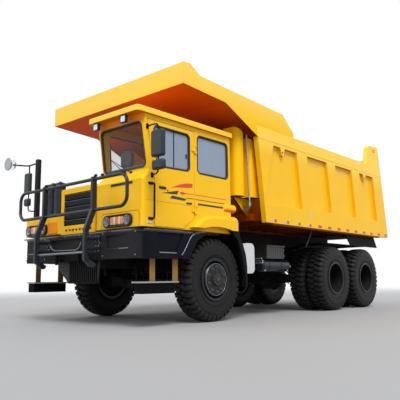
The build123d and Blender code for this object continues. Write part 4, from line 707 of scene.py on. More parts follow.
class TruckColours(bpy.types.PropertyGroup):
    body: colour_property("Body", "Paint of the cab and the tipping body", (0.92, 0.500, 0.004))
    body_light: colour_property("Body, lighter", "The same paint where it is lightest", (0.97, 0.555, 0.008))
    trim: colour_property("Trim", "Paint of the bumper and the mirrors' arms", (0.019, 0.018, 0.020))
    dust: bpy.props.FloatProperty(name="Dust", description="How dusty the truck is", subtype="FACTOR", min=0, max=1,
                                  default=0.55)


class TruckTyres(bpy.types.PropertyGroup):
    lugs: bpy.props.IntProperty(name="Lugs", description="Lugs along each edge of a tread", min=20, max=60,
                                default=38)
    depth: bpy.props.FloatProperty(name="Tread depth", description="Height of a lug above its groove",
                                   unit="LENGTH", min=0.005, max=0.05, default=0.032)
    shoulder: bpy.props.FloatProperty(name="Lug width", description="Width of a lug at the shoulder", unit="LENGTH",
                                      min=0.02, max=0.1, default=0.072)


class TruckStage(bpy.types.PropertyGroup):
    key: bpy.props.FloatProperty(name="Key lamp", description="Strength of the lamp from ahead and the left",
                                 min=0, max=10, default=2.6)
    fill: bpy.props.FloatProperty(name="Fill lamp", description="Strength of the lamp from ahead and the right",
                                  min=0, max=10, default=0.55)
    sky: bpy.props.FloatProperty(name="Sky", description="Strength of the world's light", min=0, max=3, default=0.72)
    floor: colour_property("Floor", "Colour of the floor", (0.36, 0.36, 0.365))


# ---- tyres and wheels ----
# (axial, radius) of a lug's top from the tread's middle, over the shoulder and down the wall, on a tyre 1.368 m across
LUG_TOP = np.array([(0.000, 0.684), (0.060, 0.6832), (0.105, 0.680), (0.140, 0.673), (0.160, 0.661), (0.173, 0.642),
                    (0.181, 0.615), (0.1855, 0.585)])
# (axial, radius) down the wall from the end of the lugs to the bead
WALL_LINE = np.array([(0.1875, 0.560), (0.1890, 0.556), (0.1900, 0.545), (0.1900, 0.500), (0.1885, 0.460),
                      (0.1865, 0.430), (0.1890, 0.424), (0.1890, 0.414), (0.1850, 0.406), (0.1800, 0.385),
                      (0.1690, 0.362), (0.1670, 0.352), (0.1665, 0.3226)])
TYRE_HALF = 0.190
LUG_RADIUS = 0.66     # where a lug's widths are measured
SINGLE_WIDTH = 0.5    # a node narrower than this holds one tyre, not a pair
# (name, body, side) of each wheel or pair
WHEELS = [(f"{axle}_{word}", f"{group}_{axle}_{word[0]}", side)
          for axle, group in (("front", "wheel"), ("middle", "wheels"), ("rear", "wheels"))
          for word, side in (("left", 1), ("right", -1))]
# nut circle and its face, small bolts' circle and their face, the plug's face, the hub band and its face
FRONT_HUB = ((0.205, 0.199), (0.084, 0.229), 0.233,
             ((0.0, 0.150), (0.008, 0.148), (0.008, 0.132), (0.0, 0.130)), 0.201)
DRIVE_HUB = ((0.222, 0.026), (0.124, 0.176), 0.207,
             ((0.0, 0.262), (0.006, 0.260), (0.006, 0.250), (0.0, 0.248)), 0.026)
NUT, SMALL_BOLT, PLUG = (0.021, 0.026), (0.010, 0.010), (0.024, 0.014)   # radius and height of each head
# (along the axle, radius) round the lock ring's and the front disc's section; the ring on the front disc's edge is a
# painted highlight
LOCK_RING = ((-0.006, 0.330), (0.004, 0.330), (0.0045, 0.342), (0.001, 0.3515), (-0.006, 0.3515))
DISC_EDGE = ((0.0, 0.264), (0.003, 0.262), (0.003, 0.256), (0.0, 0.254))
DISC_EDGE_AT = 0.1985
# circle of the front wheel's hand holes, its place, and the slope of the disc there as (radial, axial)
HOLE_RING, HOLE_AT, HOLE_SLOPE = 0.289, 0.131, (0.902, 0.431)
VALVE = ((0.09, 0.27), (0.12, 0.275), (0.17, 0.29))   # (along the axle, above it)


def lug_rows(depth):
    """Tops, bottoms and arc lengths along the line of a lug: a bottom lies square below its top by the depth, which
    fades down the wall."""
    length = np.concatenate([[0], np.cumsum(np.linalg.norm(np.diff(LUG_TOP, axis=0), axis=1))])
    rows = np.array([0.012, 0.012, 0.045, 0.070, 0.084, 0.112, 0.142, 0.165, 0.190, 0.225, length[-1] - 0.012,
                     length[-1] - 0.002])
    top, ahead, behind = (np.stack([np.interp(rows + step, length, LUG_TOP[:, k]) for k in (0, 1)], 1)
                          for step in (0, 0.004, -0.004))
    along = unit(ahead - behind)
    down = np.stack([along[:, 1], -along[:, 0]], 1) * np.sign(along[:, :1] + 1e-9)
    fade = np.interp(rows, [0, 0.165, 0.225, length[-1]], [1.0, 1.0, 0.45, 0.12])
    return rows, top, top + down * (depth * fade)[:, None]


def tyre_form(centre, sizes):
    """A tyre: a turned carcass with lugs along both edges. A lug is a grid of rows across the tread and columns round
    it; its border lies on the carcass and its inner points on the lug's top; it steps sideways half way across."""
    rows, top, low = lug_rows(sizes.depth)
    half = np.interp(rows, [0, 0.07, 0.165, 0.26], [0.027, 0.028, sizes.shoulder / 2, sizes.shoulder / 2 - 0.006])
    shift = np.interp(rows, [0.070, 0.084], [0.0, 0.020])
    columns = np.array([-1, -1, -0.4, 0.4, 1, 1])
    flare = np.array([-0.007, 0, 0, 0, 0, 0.007])
    border = np.ones((len(rows), len(columns)), bool)
    border[1:-1, 1:-1] = False
    place = np.where(border[..., None], low[:, None], top[:, None])
    turn = (shift[:, None] + half[:, None] * columns + flare) / LUG_RADIUS
    count = sizes.lugs
    step = 2 * math.pi / count
    forms, lug_mask, wall_tone_and_bead_shade = [], [], []
    for side in (-1, 1):
        angle = turn[None] * side + (np.arange(count) * step + (0 if side > 0 else step / 2))[:, None, None]
        points = np.stack([np.broadcast_to(place[None, ..., 0] * side, angle.shape),
                           place[None, ..., 1] * np.cos(angle), place[None, ..., 1] * np.sin(angle)], -1)
        first, faces = grid(points[0])
        total = len(first)
        corner = points[0, 3, 2]
        facing_in = np.cross(points[0, 3, 3] - corner, points[0, 4, 2] - corner) @ (corner * (0, 1, 1)) > 0
        faces = [face[::-1] if facing_in else face for face in faces]
        forms.append((points.reshape(-1, 3), [tuple(i + k * total for i in f) for k in range(count) for f in faces]))
        lug_mask.append(np.tile((~border).ravel().astype(float), count))
        wall_tone_and_bead_shade.append(np.tile(np.broadcast_to((rows > 0.2)[:, None], border.shape).ravel().astype(float), count))
    shell = np.vstack([low[2:], WALL_LINE])
    outline = np.vstack([shell[::-1] * (-1, 1), [(0.0, low[2, 1])], shell])
    bead = WALL_LINE[-1]
    for profile, order in ((outline, 1), ([bead * (-1, 1), bead], -1)):
        points, faces = lathe(profile, (0, 0, 0), segments=96)
        forms.append((points, [face[::order] for face in faces if len(face) == 4]))
        lug_mask.append(np.zeros(len(points)))
    radius = np.linalg.norm(forms[2][0][:, 1:], axis=1)
    # The wall's tone fades to the tread's colour below 0.42 m, painting shade into the recess by the bead.
    wall_tone_and_bead_shade += [np.interp(radius, [0.42, 0.50, 0.60, 0.61], [0, 1, 1, 0]), lug_mask[-1]]
    points, faces = joined(forms)
    return (points + centre, faces), np.concatenate(lug_mask), np.concatenate(wall_tone_and_bead_shade)


def wheel_lines(name):
    """The tyres' middles and the axle's place for a wheel or a pair."""
    node = ("tyre_" if name.startswith("front") else "tyres_") + name
    low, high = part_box(node)
    at = JOINTS[name + "_roll"]["pos_m"]
    middles = [low.x + TYRE_HALF, high.x - TYRE_HALF]
    return node, middles[:1] if high.x - low.x < SINGLE_WIDTH else middles, (at[1], at[2])


class TRUCK_OT_tyres(bpy.types.Operator):
    """Lugged tyres in place of the plain rings."""
    bl_idname = "truck.tyres"
    bl_label = "Tyres"

    def execute(self, context):
        for name, body, _ in WHEELS:
            node, middles, (y, z) = wheel_lines(name)
            forms, lugs, wall_tones_and_bead_shade = zip(*[tyre_form((x, y, z), context.scene.truck_tyres) for x in middles])
            masks = {"lug": np.concatenate(lugs), "wall": np.concatenate(wall_tones_and_bead_shade)}
            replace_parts(make_piece(f"{node}_tread", forms, "tyre_rubber", body, masks), node)
        return {"FINISHED"}


class TRUCK_OT_wheel_fittings(bpy.types.Operator):
    """Wheel nuts, hub bolts, hand holes as black discs of painted shade, a pale ring that paints a highlight on the
    front disc's edge, lock rings and valves.
    """
    bl_idname = "truck.wheel_fittings"
    bl_label = "Wheel fittings"

    def execute(self, context):
        for name, body, side in WHEELS:
            _, middles, (y, z) = wheel_lines(name)
            out = (side, 0, 0)
            outer = side * max(side * x for x in middles)
            front = name.startswith("front")
            base = outer if front else sum(middles) / 2
            (nut_ring, nut_at), (small_ring, small_at), plug_at, hub, hub_at = FRONT_HUB if front else DRIVE_HUB

            def turned(profile, x, segments):
                return lathe(np.array(profile) * (side, 1), (x, y, z), segments=segments, closed=True)

            nuts = [placed(stud_nut(*NUT), circle_places(10, nut_ring, (base + side * nut_at, y, z)), out),
                    placed(bolt(*SMALL_BOLT), circle_places(12, small_ring, (base + side * small_at, y, z)), out),
                    placed(bolt(*PLUG), [(base + side * plug_at, y, z)], out)]
            if front:
                # A pale ring on the front disc's edge paints its highlight.
                edge = turned(DISC_EDGE, base + side * DISC_EDGE_AT, 72)
                make_piece(f"disc_edge_{name}", [edge], "edge_sheen", body)
                # Black discs on the wheel disc paint the shade inside the hand holes.
                holes = []
                for spot in circle_places(10, HOLE_RING, (base + side * HOLE_AT, y, z), start=math.pi / 10):
                    slope = unit(spot - (spot[0], y, z)) * HOLE_SLOPE[0] + (side * HOLE_SLOPE[1], 0, 0)
                    holes.append(stub(spot, slope, 0.026, 0.003, 0.004, 0.022))
                make_piece(f"hand_holes_{name}", holes, "hole_black", body)
            make_piece(f"wheel_nuts_{name}", nuts, "nut_steel", body)
            valve = [(base + side * along, y, z + up) for along, up in VALVE]
            rings = [turned(LOCK_RING, outer + side * (TYRE_HALF - 0.005), 72), turned(hub, base + side * hub_at, 60),
                     tube(bend(valve, 0.01), 0.005, 8)]
            make_piece(f"lock_ring_{name}", rings, "wheel_black", body)
        return {"FINISHED"}


# ---- windows and wiper ----
SEAL = [(-0.020, 0.0006), (-0.019, 0.010), (-0.008, 0.0275), (0.003, 0.0325), (0.013, 0.0315), (0.0175, 0.0262),
        (0.0, 0.0262), (-0.0015, 0.0006)]
SCREEN_FOOT = 2.320
SCREEN_LEAN = 0.120 / (CAB_TOP - SCREEN_FOOT)
# (name, body, node, the pane's outward direction); a pane's outer face is at its far end that way
PANES = (
    ("windscreen_seal", "chassis", "windscreen", (0, -1, -SCREEN_LEAN)),
    ("door_window_seal", "door", "door_glass", (1, 0, 0)),
    ("rear_quarter_seal", "chassis", "cab_glass", (1, 0, 0)),
    ("right_window_seal", "chassis", "cab_glass", (-1, 0, 0)),
    ("back_window_seal", "chassis", "cab_glass", (0, 1, 0)),
)
# (across, height) of the wiper's parts on the screen
WIPER_JOINT = (0.678, 2.586)
WIPER_PIVOTS = ((1.000, 2.335), (1.150, 2.310))
WIPER_BLADE = ((0.657, 2.408), (0.695, 2.800))
WIPER_LIFT = np.array([0.020, 0.030, 0.034, 0.034, 0.032, 0.026, 0.016, 0.006])   # of the arm off the screen
WIPER_KNOB = ((0, 0.022), (0.018, 0.022), (0.026, 0.014), (0.030, 0.004))


class TRUCK_OT_window_seals(bpy.types.Operator):
    """Rubber seals round the screen and the windows."""
    bl_idname = "truck.window_seals"
    bl_label = "Window seals"

    def execute(self, context):
        for name, body, node, out in PANES:
            def outer_face(points):
                reach = points @ np.array(out, float)
                return reach > ((reach.min() + reach.max()) / 2 if node == "windscreen" else reach.max() - 1e-4)

            make_piece(name, [band(face_of(node, outer_face), out, SEAL)], "seal_rubber", body)
        return {"FINISHED"}


def cab_face_y(z):
    """The cab's front face at a height: upright, back to the screen's foot, then leaning forward."""
    return np.interp(z, [2.170, SCREEN_FOOT, CAB_TOP], [CAB_FRONT, CAB_FRONT + 0.120, CAB_FRONT])


class TRUCK_OT_wipers(bpy.types.Operator):
    """The wiper on the screen: one blade on a pair of arms."""
    bl_idname = "truck.wipers"
    bl_label = "Wipers"

    def execute(self, context):
        forms = []
        for pivot in WIPER_PIVOTS:
            spot = (pivot[0], cab_face_y(pivot[1]), pivot[1])
            forms.append(lathe(WIPER_KNOB, spot, FORWARD, 20))
            x, z = np.linspace(pivot, WIPER_JOINT, len(WIPER_LIFT)).T
            thick = np.linspace(0.008, 0.005, len(WIPER_LIFT))
            forms.append(tube(np.stack([x, cab_face_y(z) - WIPER_LIFT, z], 1), thick, 8))
        x, z = np.linspace(*WIPER_BLADE, 12).T
        inside = cab_face_y(z) + GLASS_IN
        forms.append(tube(np.stack([x, inside - 0.010, z], 1), 0.0075, 6))
        forms.append(tube(np.stack([x, inside - 0.021, z], 1)[2:-2], 0.006, 6))
        make_piece("wipers", forms, "black_plastic")
        return {"FINISHED"}


# ---- lamps ----
LAMP_Z = (1.480, 1.668)
LAMP_SPANS = ((0.655, 1.315), (-1.556, -0.900))
LAMP_FACE = CAB_FRONT - 0.030
BOWL_R = 0.062
CELLS = 5
AMBER_CELLS = (0, 2, 4)
# (outwards, along the normal) round a cluster's frame and a work lamp's rim
CLUSTER_FRAME = ((-0.024, -0.012), (-0.020, 0.008), (-0.006, 0.014), (0.0, 0.008), (0.0, -0.018))
WORK_RIM = ((-0.008, -0.004), (-0.008, 0.004), (0.004, 0.006), (0.006, -0.004))
WORK_LAMPS = (0.555, 1.215)
REAR_LAMP_Z = 1.100
REAR_LAMP_X, REAR_LAMP_STEP = 1.420, 0.115   # the outermost lens and the step to the next


def lamp_cluster(x0, x1):
    """Forms of one headlamp cluster: frame, bowls, clear lenses, amber cells and white cells."""
    z0, z1 = LAMP_Z
    outline = panel(x0, x1, z0, z1, 0.085, 8)
    frames = [band(on_plane(outline, LAMP_FACE + 0.006, "y"), FORWARD, CLUSTER_FRAME),
              slab(outline, LAMP_FACE + 0.010, CAB_FRONT - 0.001, "y")]
    bowls, lenses, amber, whites = [], [], [], []
    turn, arc = np.linspace(0.15, 1, 9), np.linspace(0.05, 1, 7)
    bowl = np.stack([0.022 * turn ** 2, BOWL_R * turn], 1)
    bowl = np.vstack([bowl, [(0.026, BOWL_R + 0.004), (0.026, BOWL_R + 0.010), (0.0, BOWL_R + 0.012),
                             (-0.004, 0.01)]])
    dome = np.stack([0.010 * (1 - arc ** 2), (BOWL_R + 0.003) * arc], 1)
    dome = np.vstack([dome, dome[::-1] - (0.002, 0)])
    for x in (x0 + 0.098, x1 - 0.098):
        middle = (z0 + z1) / 2
        bowls.append(lathe(bowl, (x, LAMP_FACE + 0.016, middle), FORWARD, 36))
        bowls.append(stub((x, LAMP_FACE + 0.014, middle), FORWARD, 0.010, 0.016, 0.021, 0.005, 16))
        lenses.append(lathe(dome, (x, LAMP_FACE - 0.010, middle), FORWARD, 32))
    left = x0 + 0.178
    pitch = (x1 - 0.178 - left) / CELLS
    rings = [(0, LAMP_FACE + 0.011), (0, LAMP_FACE - 0.002), (0.004, LAMP_FACE - 0.008), (0.008, LAMP_FACE - 0.009)]
    for index in range(CELLS):
        start = left + index * pitch
        cell = panel(start + 0.006, start + pitch - 0.006, z0 + 0.034, z1 - 0.034, 0.010, 3)
        (amber if index in AMBER_CELLS else whites).append(plate(cell, rings, "y"))
    return [joined(forms) for forms in (frames, bowls, lenses, amber, whites)]


class TRUCK_OT_lamps(bpy.types.Operator):
    """Headlamp clusters, work lamps and rear lamps."""
    bl_idname = "truck.lamps"
    bl_label = "Lamps"

    def execute(self, context):
        frames, bowls, lenses, amber, cells = map(list, zip(*[lamp_cluster(*span) for span in LAMP_SPANS]))
        whites, reds = [], []
        top = CAB_TOP
        face, back = CAB_FRONT - 0.125, CAB_FRONT - 0.066
        for x in WORK_LAMPS:
            case = panel(x - 0.062, x + 0.062, top - 0.126, top - 0.006, 0.016)
            frames.append(plate(case, [(0.004, face), (0, face + 0.004), (0, back - 0.02), (0.022, back)], "y"))
            rim = on_plane(inset(case, [0.006])[0], face, "y")
            frames.append(band(rim, FORWARD, WORK_RIM))
            frames.append(brick((x - 0.018, face + 0.02, top - 0.02), (x + 0.018, back - 0.01, top - 0.0005)))
            lens = panel(x - 0.050, x + 0.050, top - 0.114, top - 0.018, 0.014)
            whites.append(plate(lens, [(0, face + 0.002), (0.001, face - 0.003), (0.006, face - 0.005)], "y"))
        rear_y = aft(6.190) + 0.060
        for side in (-1, 1):
            for index, target in enumerate((reds, reds, amber, whites)):
                x = side * (REAR_LAMP_X - index * REAR_LAMP_STEP)
                lens = panel(x - 0.050, x + 0.050, REAR_LAMP_Z - 0.042, REAR_LAMP_Z + 0.042, 0.014, 3)
                target.append(raised(lens, rear_y + 0.012, rear_y + 0.030, rear_y + 0.040, 0.008, "y"))
            case = panel(*sorted((side * 1.490, side * 1.012)), REAR_LAMP_Z - 0.054, REAR_LAMP_Z + 0.054, 0.018)
            frames.append(slab(case, rear_y - 0.001, rear_y + 0.016, "y"))
        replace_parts(make_piece("lamp_frames", frames, "black_plastic"), "lamps")
        for name, forms, finish, slot in (("lamp_bowls", bowls, "reflector", "lamp_housing"),
                                          ("lamp_cells", cells, "lamp_cell", "lamp_housing"),
                                          ("lamp_lenses", lenses, "lens_glass", "glass"),
                                          ("indicator_lenses", amber, "amber", "lamp_housing"),
                                          ("work_lamp_lenses", whites, "lamp_white", "lamp_housing"),
                                          ("tail_lenses", reds, "red_lens", "lamp_housing")):
            make_piece(name, forms, finish)
        return {"FINISHED"}


# ---- mirrors ----
DECK_MIRROR_X = -1.465
PAD_X = (CAB_LEFT + 0.0004, CAB_LEFT + 0.014)
ARM_TOP_Z, ARM_FOOT_Z = 2.960, 2.230     # the cab mirror's arm at its two pads
GRIP_TOP_Z, GRIP_FOOT_Z = 2.105, 1.580
CROSS_Z, CROSS_FOOT_Z = 2.835, 1.940     # the deck mirrors' two arms on their post
POST_X, POST_TOP_Z = (-1.395, -1.308), 2.895
# (ahead of its rim, radius) round the round mirror's rim and back edge
ROUND_RIM = ((0.006, 0.1175), (0.0, 0.1155), (0.002, 0.108))


def mirror_case(x, y, z0, z1, half, depth):
    """A mirror's case, domed ahead, its glass behind: a rounded outline through rings that curl in."""
    outline = panel(x - half, x + half, z0, z1, 0.036, 5)
    front, back = y - depth / 2, y + depth / 2
    turn = np.linspace(0, math.pi / 2, 6)
    dome = np.stack([0.030 * (1 - np.sin(turn)), front + 0.030 * (1 - np.cos(turn))], 1)
    rings = np.vstack([dome, [(0.0, back - 0.004), (0.004, back), (0.010, back - 0.003)]])
    glass = plate(inset(outline, [0.011])[0], [(0.0, back - 0.006), (0.001, back - 0.002)], "y")
    return plate(outline, rings, "y"), glass


class TRUCK_OT_mirrors(bpy.types.Operator):
    """Mirrors on their arms, the post on the deck and the grab handle."""
    bl_idname = "truck.mirrors"
    bl_label = "Mirrors"

    def execute(self, context):
        y, deck_y, ahead = CAB_FRONT + 0.130, CAB_FRONT + 0.050, CAB_FRONT - 0.060
        reach, face = CAB_LEFT + 0.322, CAB_LEFT + 0.012
        deck_x, cab_x = DECK_MIRROR_X, CAB_LEFT
        # (x, y, lower z, upper z, half width, depth) of each mirror
        boxes = ((reach, y - 0.130, 2.430, 2.825, 0.122, 0.070),
                 (reach + 0.012, y - 0.130, 2.240, 2.385, 0.118, 0.070),
                 (deck_x, ahead - 0.024, 2.245, 2.635, 0.092, 0.060),
                 (deck_x, ahead - 0.024, 2.030, 2.170, 0.084, 0.060))
        cases, glasses = map(list, zip(*[mirror_case(*box) for box in boxes]))
        top, low = (y - 0.040, ARM_TOP_Z), (y + 0.060, ARM_FOOT_Z)
        loop = [(face, *top), (reach - 0.05, y - 0.110, 2.930), (reach, y - 0.120, 2.890), (reach, y - 0.120, 2.220),
                (reach - 0.05, y - 0.110, 2.190), (face, *low)]
        arms = [tube(bend(loop, 0.045), 0.0115)]
        for at_y, z in (top, low):
            arms.append(slab(panel(at_y - 0.026, at_y + 0.026, z - 0.040, z + 0.040, 0.014), *PAD_X, "x", 0.003))
            arms.append(placed(bolt(0.008, 0.008), [(PAD_X[1], at_y, z + dz) for dz in (-0.026, 0.026)], LEFT))
        grip, out = CAB_FRONT + 0.185, cab_x + 0.062
        handle = [(cab_x, grip, GRIP_TOP_Z), (out, grip, GRIP_TOP_Z), (out, grip, GRIP_FOOT_Z),
                  (cab_x, grip, GRIP_FOOT_Z)]
        arms.append(tube(bend(handle, 0.035), 0.0145))
        for z in (GRIP_TOP_Z, GRIP_FOOT_Z):
            arms.append(brick((PAD_X[0], grip - 0.070, z - 0.020), (cab_x + 0.012, grip + 0.020, z + 0.020)))
            arms.append(tube([(cab_x + 0.008, grip - 0.055, z), (cab_x + 0.030, grip - 0.055, z)], 0.009, 10))
        post = panel(*POST_X, deck_y - 0.040, deck_y + 0.040, 0.012)
        foot = panel(POST_X[0] - 0.040, POST_X[1] + 0.040, deck_y - 0.049, deck_y + 0.080, 0.02)
        arms.append(raised(post, DECK_Z + 0.0005, POST_TOP_Z - 0.012, POST_TOP_Z, 0.006, "z"))
        arms.append(raised(foot, DECK_Z + 0.0004, DECK_Z + 0.012, DECK_Z + 0.015, 0.003, "z"))
        cross = [(-1.350, deck_y, CROSS_Z), (deck_x, ahead - 0.020, 2.770), (-1.850, ahead - 0.115, CROSS_Z)]
        drop = [(deck_x, ahead, 2.772), (deck_x, ahead, CROSS_FOOT_Z), (-1.370, deck_y, CROSS_FOOT_Z)]
        arms += [tube(bend(cross, 0.06), 0.0135), tube(bend(drop, 0.05), 0.0115)]
        round_x, round_y, round_z = -1.858, ahead - 0.163, CROSS_Z
        arc = np.linspace(0.06, 1, 10)
        dome = np.stack([0.056 - 0.044 * (1 - np.sqrt(1 - (arc * 0.98) ** 2)), 0.116 * arc], 1)
        bowl = np.vstack([dome, ROUND_RIM])
        round_case = lathe((bowl - (0.058, 0)) * (-1, 1), (round_x, round_y, round_z), FORWARD, 40)
        glasses.append(lathe([(0.0, 0.106), (-0.003, 0.080), (-0.004, 0.02)], (round_x, round_y + 0.056, round_z),
                             FORWARD, 40))
        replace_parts(make_piece("mirror_cases", cases, "black_plastic"), "mirrors")
        make_piece("mirror_arms", arms, "trim_satin")
        make_piece("mirror_faces", glasses, "mirror_face")
        make_piece("round_mirror", [round_case], "galvanised")
        return {"FINISHED"}


# ---- stripes ----
# (body, finish, corners as (behind the front axle, height)) of each painted stripe on the cab's side
STRIPES = (
    ("door", "stripe_dark", ((-1.270, 1.984), (-0.880, 2.064), (-0.925, 1.996))),
    ("door", "stripe_dark", ((-1.030, 1.972), (-0.705, 1.950), (-0.750, 1.914), (-1.085, 1.922))),
    ("door", "stripe_dark", ((-0.715, 1.898), (-0.572, 1.900), (-0.590, 1.866), (-0.715, 1.866))),
    ("door", "stripe_dark", ((-0.700, 1.971), (-0.535, 1.971), (-0.535, 1.959), (-0.700, 1.959))),
    ("chassis", "stripe_dark", ((-0.508, 1.971), (0.275, 1.971), (0.262, 1.959), (-0.508, 1.959))),
    ("chassis", "stripe_dark", ((-0.432, 1.908), (0.214, 1.908), (0.196, 1.877), (-0.434, 1.877))),
    ("door", "stripe_red", ((-0.740, 2.043), (-0.535, 2.044), (-0.535, 2.032), (-0.740, 2.030))),
    ("chassis", "stripe_red", ((-0.508, 2.044), (0.318, 2.047), (0.300, 2.035), (-0.508, 2.032))),
)
# (behind the front axle, lower height, upper height) along the red swoosh
SWOOSH = ((-1.045, 2.092, 2.093), (-0.960, 2.106, 2.128), (-0.860, 2.113, 2.164), (-0.740, 2.124, 2.194),
          (-0.640, 2.134, 2.208), (-0.568, 2.150, 2.212), (-0.562, 2.200, 2.211))


class TRUCK_OT_stripes(bpy.types.Operator):
    """Painted stripes along the door and the cab's side."""
    bl_idname = "truck.stripes"
    bl_label = "Stripes"

    def execute(self, context):
        rings = [(0, CAB_LEFT + 0.0003), (0, CAB_LEFT + 0.0010)]
        groups = {}
        for body, finish, corners in STRIPES:
            outline = [(aft(y), z) for y, z in corners]
            groups.setdefault((body, finish), []).append(plate(outline, rings, "x"))
        swoosh = [(aft(y), low) for y, low, _ in SWOOSH] + [(aft(y), high) for y, _, high in reversed(SWOOSH)]
        dot = np.array([(aft(-0.800), 2.030)]) + polygon(24, 1.0) * (0.062, 0.022)
        groups[("door", "stripe_red")] += [plate(swoosh, rings, "x"), plate(dot, rings, "x")]
        for (body, finish), forms in groups.items():
            make_piece(f"{finish}_{body}", forms, finish, body)
        return {"FINISHED"}


# ---- tipping body ----
MARKERS = 13
MARKER_START, MARKER_STEP = 1.430, 0.425   # the first marker behind the front axle and the step to the next
MARKER_Z = (1.722, 1.774)
WHITE_MARKERS = 4     # the first markers of a side, which are half white
GATE_MARKERS = ((-1.25, "red"), (-0.75, "white"), (0.75, "white"), (1.25, "red"))
# (outwards, radius) of the gate's boss
GATE_BOSS = ((0.0, 0.075), (0.010, 0.075), (0.016, 0.060), (0.016, 0.032), (0.026, 0.032), (0.030, 0.022))
SILL_X, SILL_Y, SILL_Z = (1.640, 1.750), (1.380, 6.180), (1.672, 1.6995)   # y behind the front axle
PROP_X, PROP_TOP, PROP_FOOT = 1.200, (3.753, 1.720), (3.472, 1.357)   # (behind the front axle, height)
# (x, behind the front axle, z) down the riser pipe
RISER_TOP, RISER_FOOT = (1.562, 0.872, 3.330), (1.562, 0.928, 2.060)
RISER = ((1.44, 0.872, 3.375), (1.562, 0.872, 3.375), RISER_FOOT, (1.562, 0.932, 1.985), (1.45, 0.990, 1.930))


def from_axle(points):
    """Points whose y is measured behind the front axle, in the truck's frame."""
    return np.array(points) + (0, FRONT_AXLE_Y, 0)


class TRUCK_OT_body_fittings(bpy.types.Operator):
    """Markers and sills along the body's sides, the riser pipe, the gate's bosses and the prop rods."""
    bl_idname = "truck.body_fittings"
    bl_label = "Body fittings"

    def execute(self, context):
        reds, whites = [], []

        def marker(y0, y1, z0, z1):
            form = slab(rectangle(y0, y1, z0, z1), BED_SIDE + 0.0003, BED_SIDE + 0.003, "x", 0.0008)
            return [form, mirrored(form)]

        for index in range(MARKERS):
            y = aft(MARKER_START + index * MARKER_STEP)
            first = whites if index < WHITE_MARKERS else reds
            first += marker(y - 0.070, y - 0.006, *MARKER_Z)
            reds += marker(y - 0.006, y + 0.070, *MARKER_Z)
        whites += marker(aft(2.748), aft(2.782), 1.865, 2.017)
        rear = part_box("tailgate")[1].y
        for x, colour in GATE_MARKERS:
            form = slab(rectangle(x - 0.07, x + 0.07, 1.760, 1.812), rear, rear + 0.002, "y", 0.0006)
            (reds if colour == "red" else whites).append(form)
        _, swing_y, swing_z = JOINTS["tailgate_swing"]["pos_m"]
        bosses = [lathe(GATE_BOSS, (side * (BED_SIDE + 0.0002), swing_y, swing_z), (side, 0, 0), 32)
                  for side in (-1, 1)]
        sills = [brick((side * SILL_X[0], aft(SILL_Y[0]), SILL_Z[0]), (side * SILL_X[1], aft(SILL_Y[1]), SILL_Z[1]),
                       0.002) for side in (1, -1)]
        pipe = [tube(bend(from_axle(RISER), 0.04), 0.0145, 14)]
        top, foot = from_axle([RISER_TOP, RISER_FOOT])
        pipe += [collar(top * (1 - t) + foot * t, 0.014, 0.014, 0.019, segments=16) for t in (0.06, 0.35, 0.65, 0.94)]
        pipe.append(collar((1.562, aft(0.931), 2.02), 0.030, 0.012, 0.024, segments=6))
        pipe += [tube(from_axle([(x, *PROP_TOP), (x, *PROP_FOOT)]), 0.011, 10) for x in (-PROP_X, PROP_X)]
        for name, forms, finish, slot in (("markers_red", reds, "marker_red", "sheet_rubber"),
                                          ("markers_white", whites, "marker_white", "white_paint"),
                                          ("gate_bosses", bosses, "yellow_gloss", "yellow_paint"),
                                          ("body_sills", sills, "sill_brown", "yellow_paint"),
                                          ("riser_pipe", pipe, "galvanised", "grey_plastic")):
            make_piece(name, forms, finish, "dump_bed")
        return {"FINISHED"}


# ---- front ----
BAR_Y = aft(-1.870)
# (across, height) of the bumper's bolts on each side
BUMPER_BOLTS = ((0.70, 1.255), (0.78, 1.385), (0.78, 1.050), (1.44, 1.385), (1.44, 1.050), (0.20, 1.395))
# (across, height) of the clips on the bull bar
BAR_CLIPS = ((0.707, 2.278), (0.870, 2.265), (-0.640, 2.278), (-0.400, 2.265), (-0.190, 2.262))
# two opposite corners of each pale strip that paints a highlight on a ledge of the bumper's face, and its chamfer
FACE_HIGHLIGHT_STRIPS = (((0.819, BUMPER_FACE + 0.0205, 1.145), (1.329, BUMPER_FACE + 0.026, 1.157)),
          ((-1.329, BUMPER_FACE + 0.0205, 1.145), (-0.819, BUMPER_FACE + 0.026, 1.157)),
          ((-0.660, aft(-1.9925), 1.100), (0.600, aft(-1.989), 1.125)))
# (front, rear, height) of each pale strip that paints a highlight on the bumper's wings
WING_HIGHLIGHT_STRIPS = ((-1.290, -0.865, 1.412), (-1.380, -1.025, 1.078))
# (across, height) along the hollow's edge in the bumper's face, where a pale tube paints a highlight
HOLLOW = ((-0.690, 1.385), (-0.676, 1.347), (-0.642, 1.286), (-0.564, 1.207), (-0.475, 1.180), (0.109, 1.170),
          (0.187, 1.206), (0.240, 1.290))
LIP_Z = 1.404
# (across, y) along the bumper's rolled lip, from the wing to the middle
LIP = ((1.582, aft(-0.460)), (1.588, aft(-1.600)), (1.394, BUMPER_FACE + 0.050), (0.756, BUMPER_FACE + 0.018))
# (across, behind the front axle, height) down the crease of the bumper's wing
WING_CREASE = ((1.632, -0.400, 1.430), (1.632, -0.505, 1.424), (1.628, -0.633, 1.396), (1.606, -0.706, 1.340),
               (1.600, -0.764, 1.242), (1.600, -0.833, 1.132), (1.600, -0.912, 1.046))
# (along the axis, radius) round the bull bar's clamp on a stay and along a clip
STAY_CLAMP = ((0.0, 0.030), (0.0, 0.062), (0.010, 0.062), (0.014, 0.056), (0.014, 0.030))
CLIP = ((-0.020, 0.016), (-0.016, 0.021), (0.016, 0.021), (0.020, 0.016))
# (outwards, along the normal) round a pressed seam
SEAM = ((-0.003, 0.0003), (-0.002, 0.0016), (0.002, 0.0016), (0.003, 0.0003))
SLATS = 5
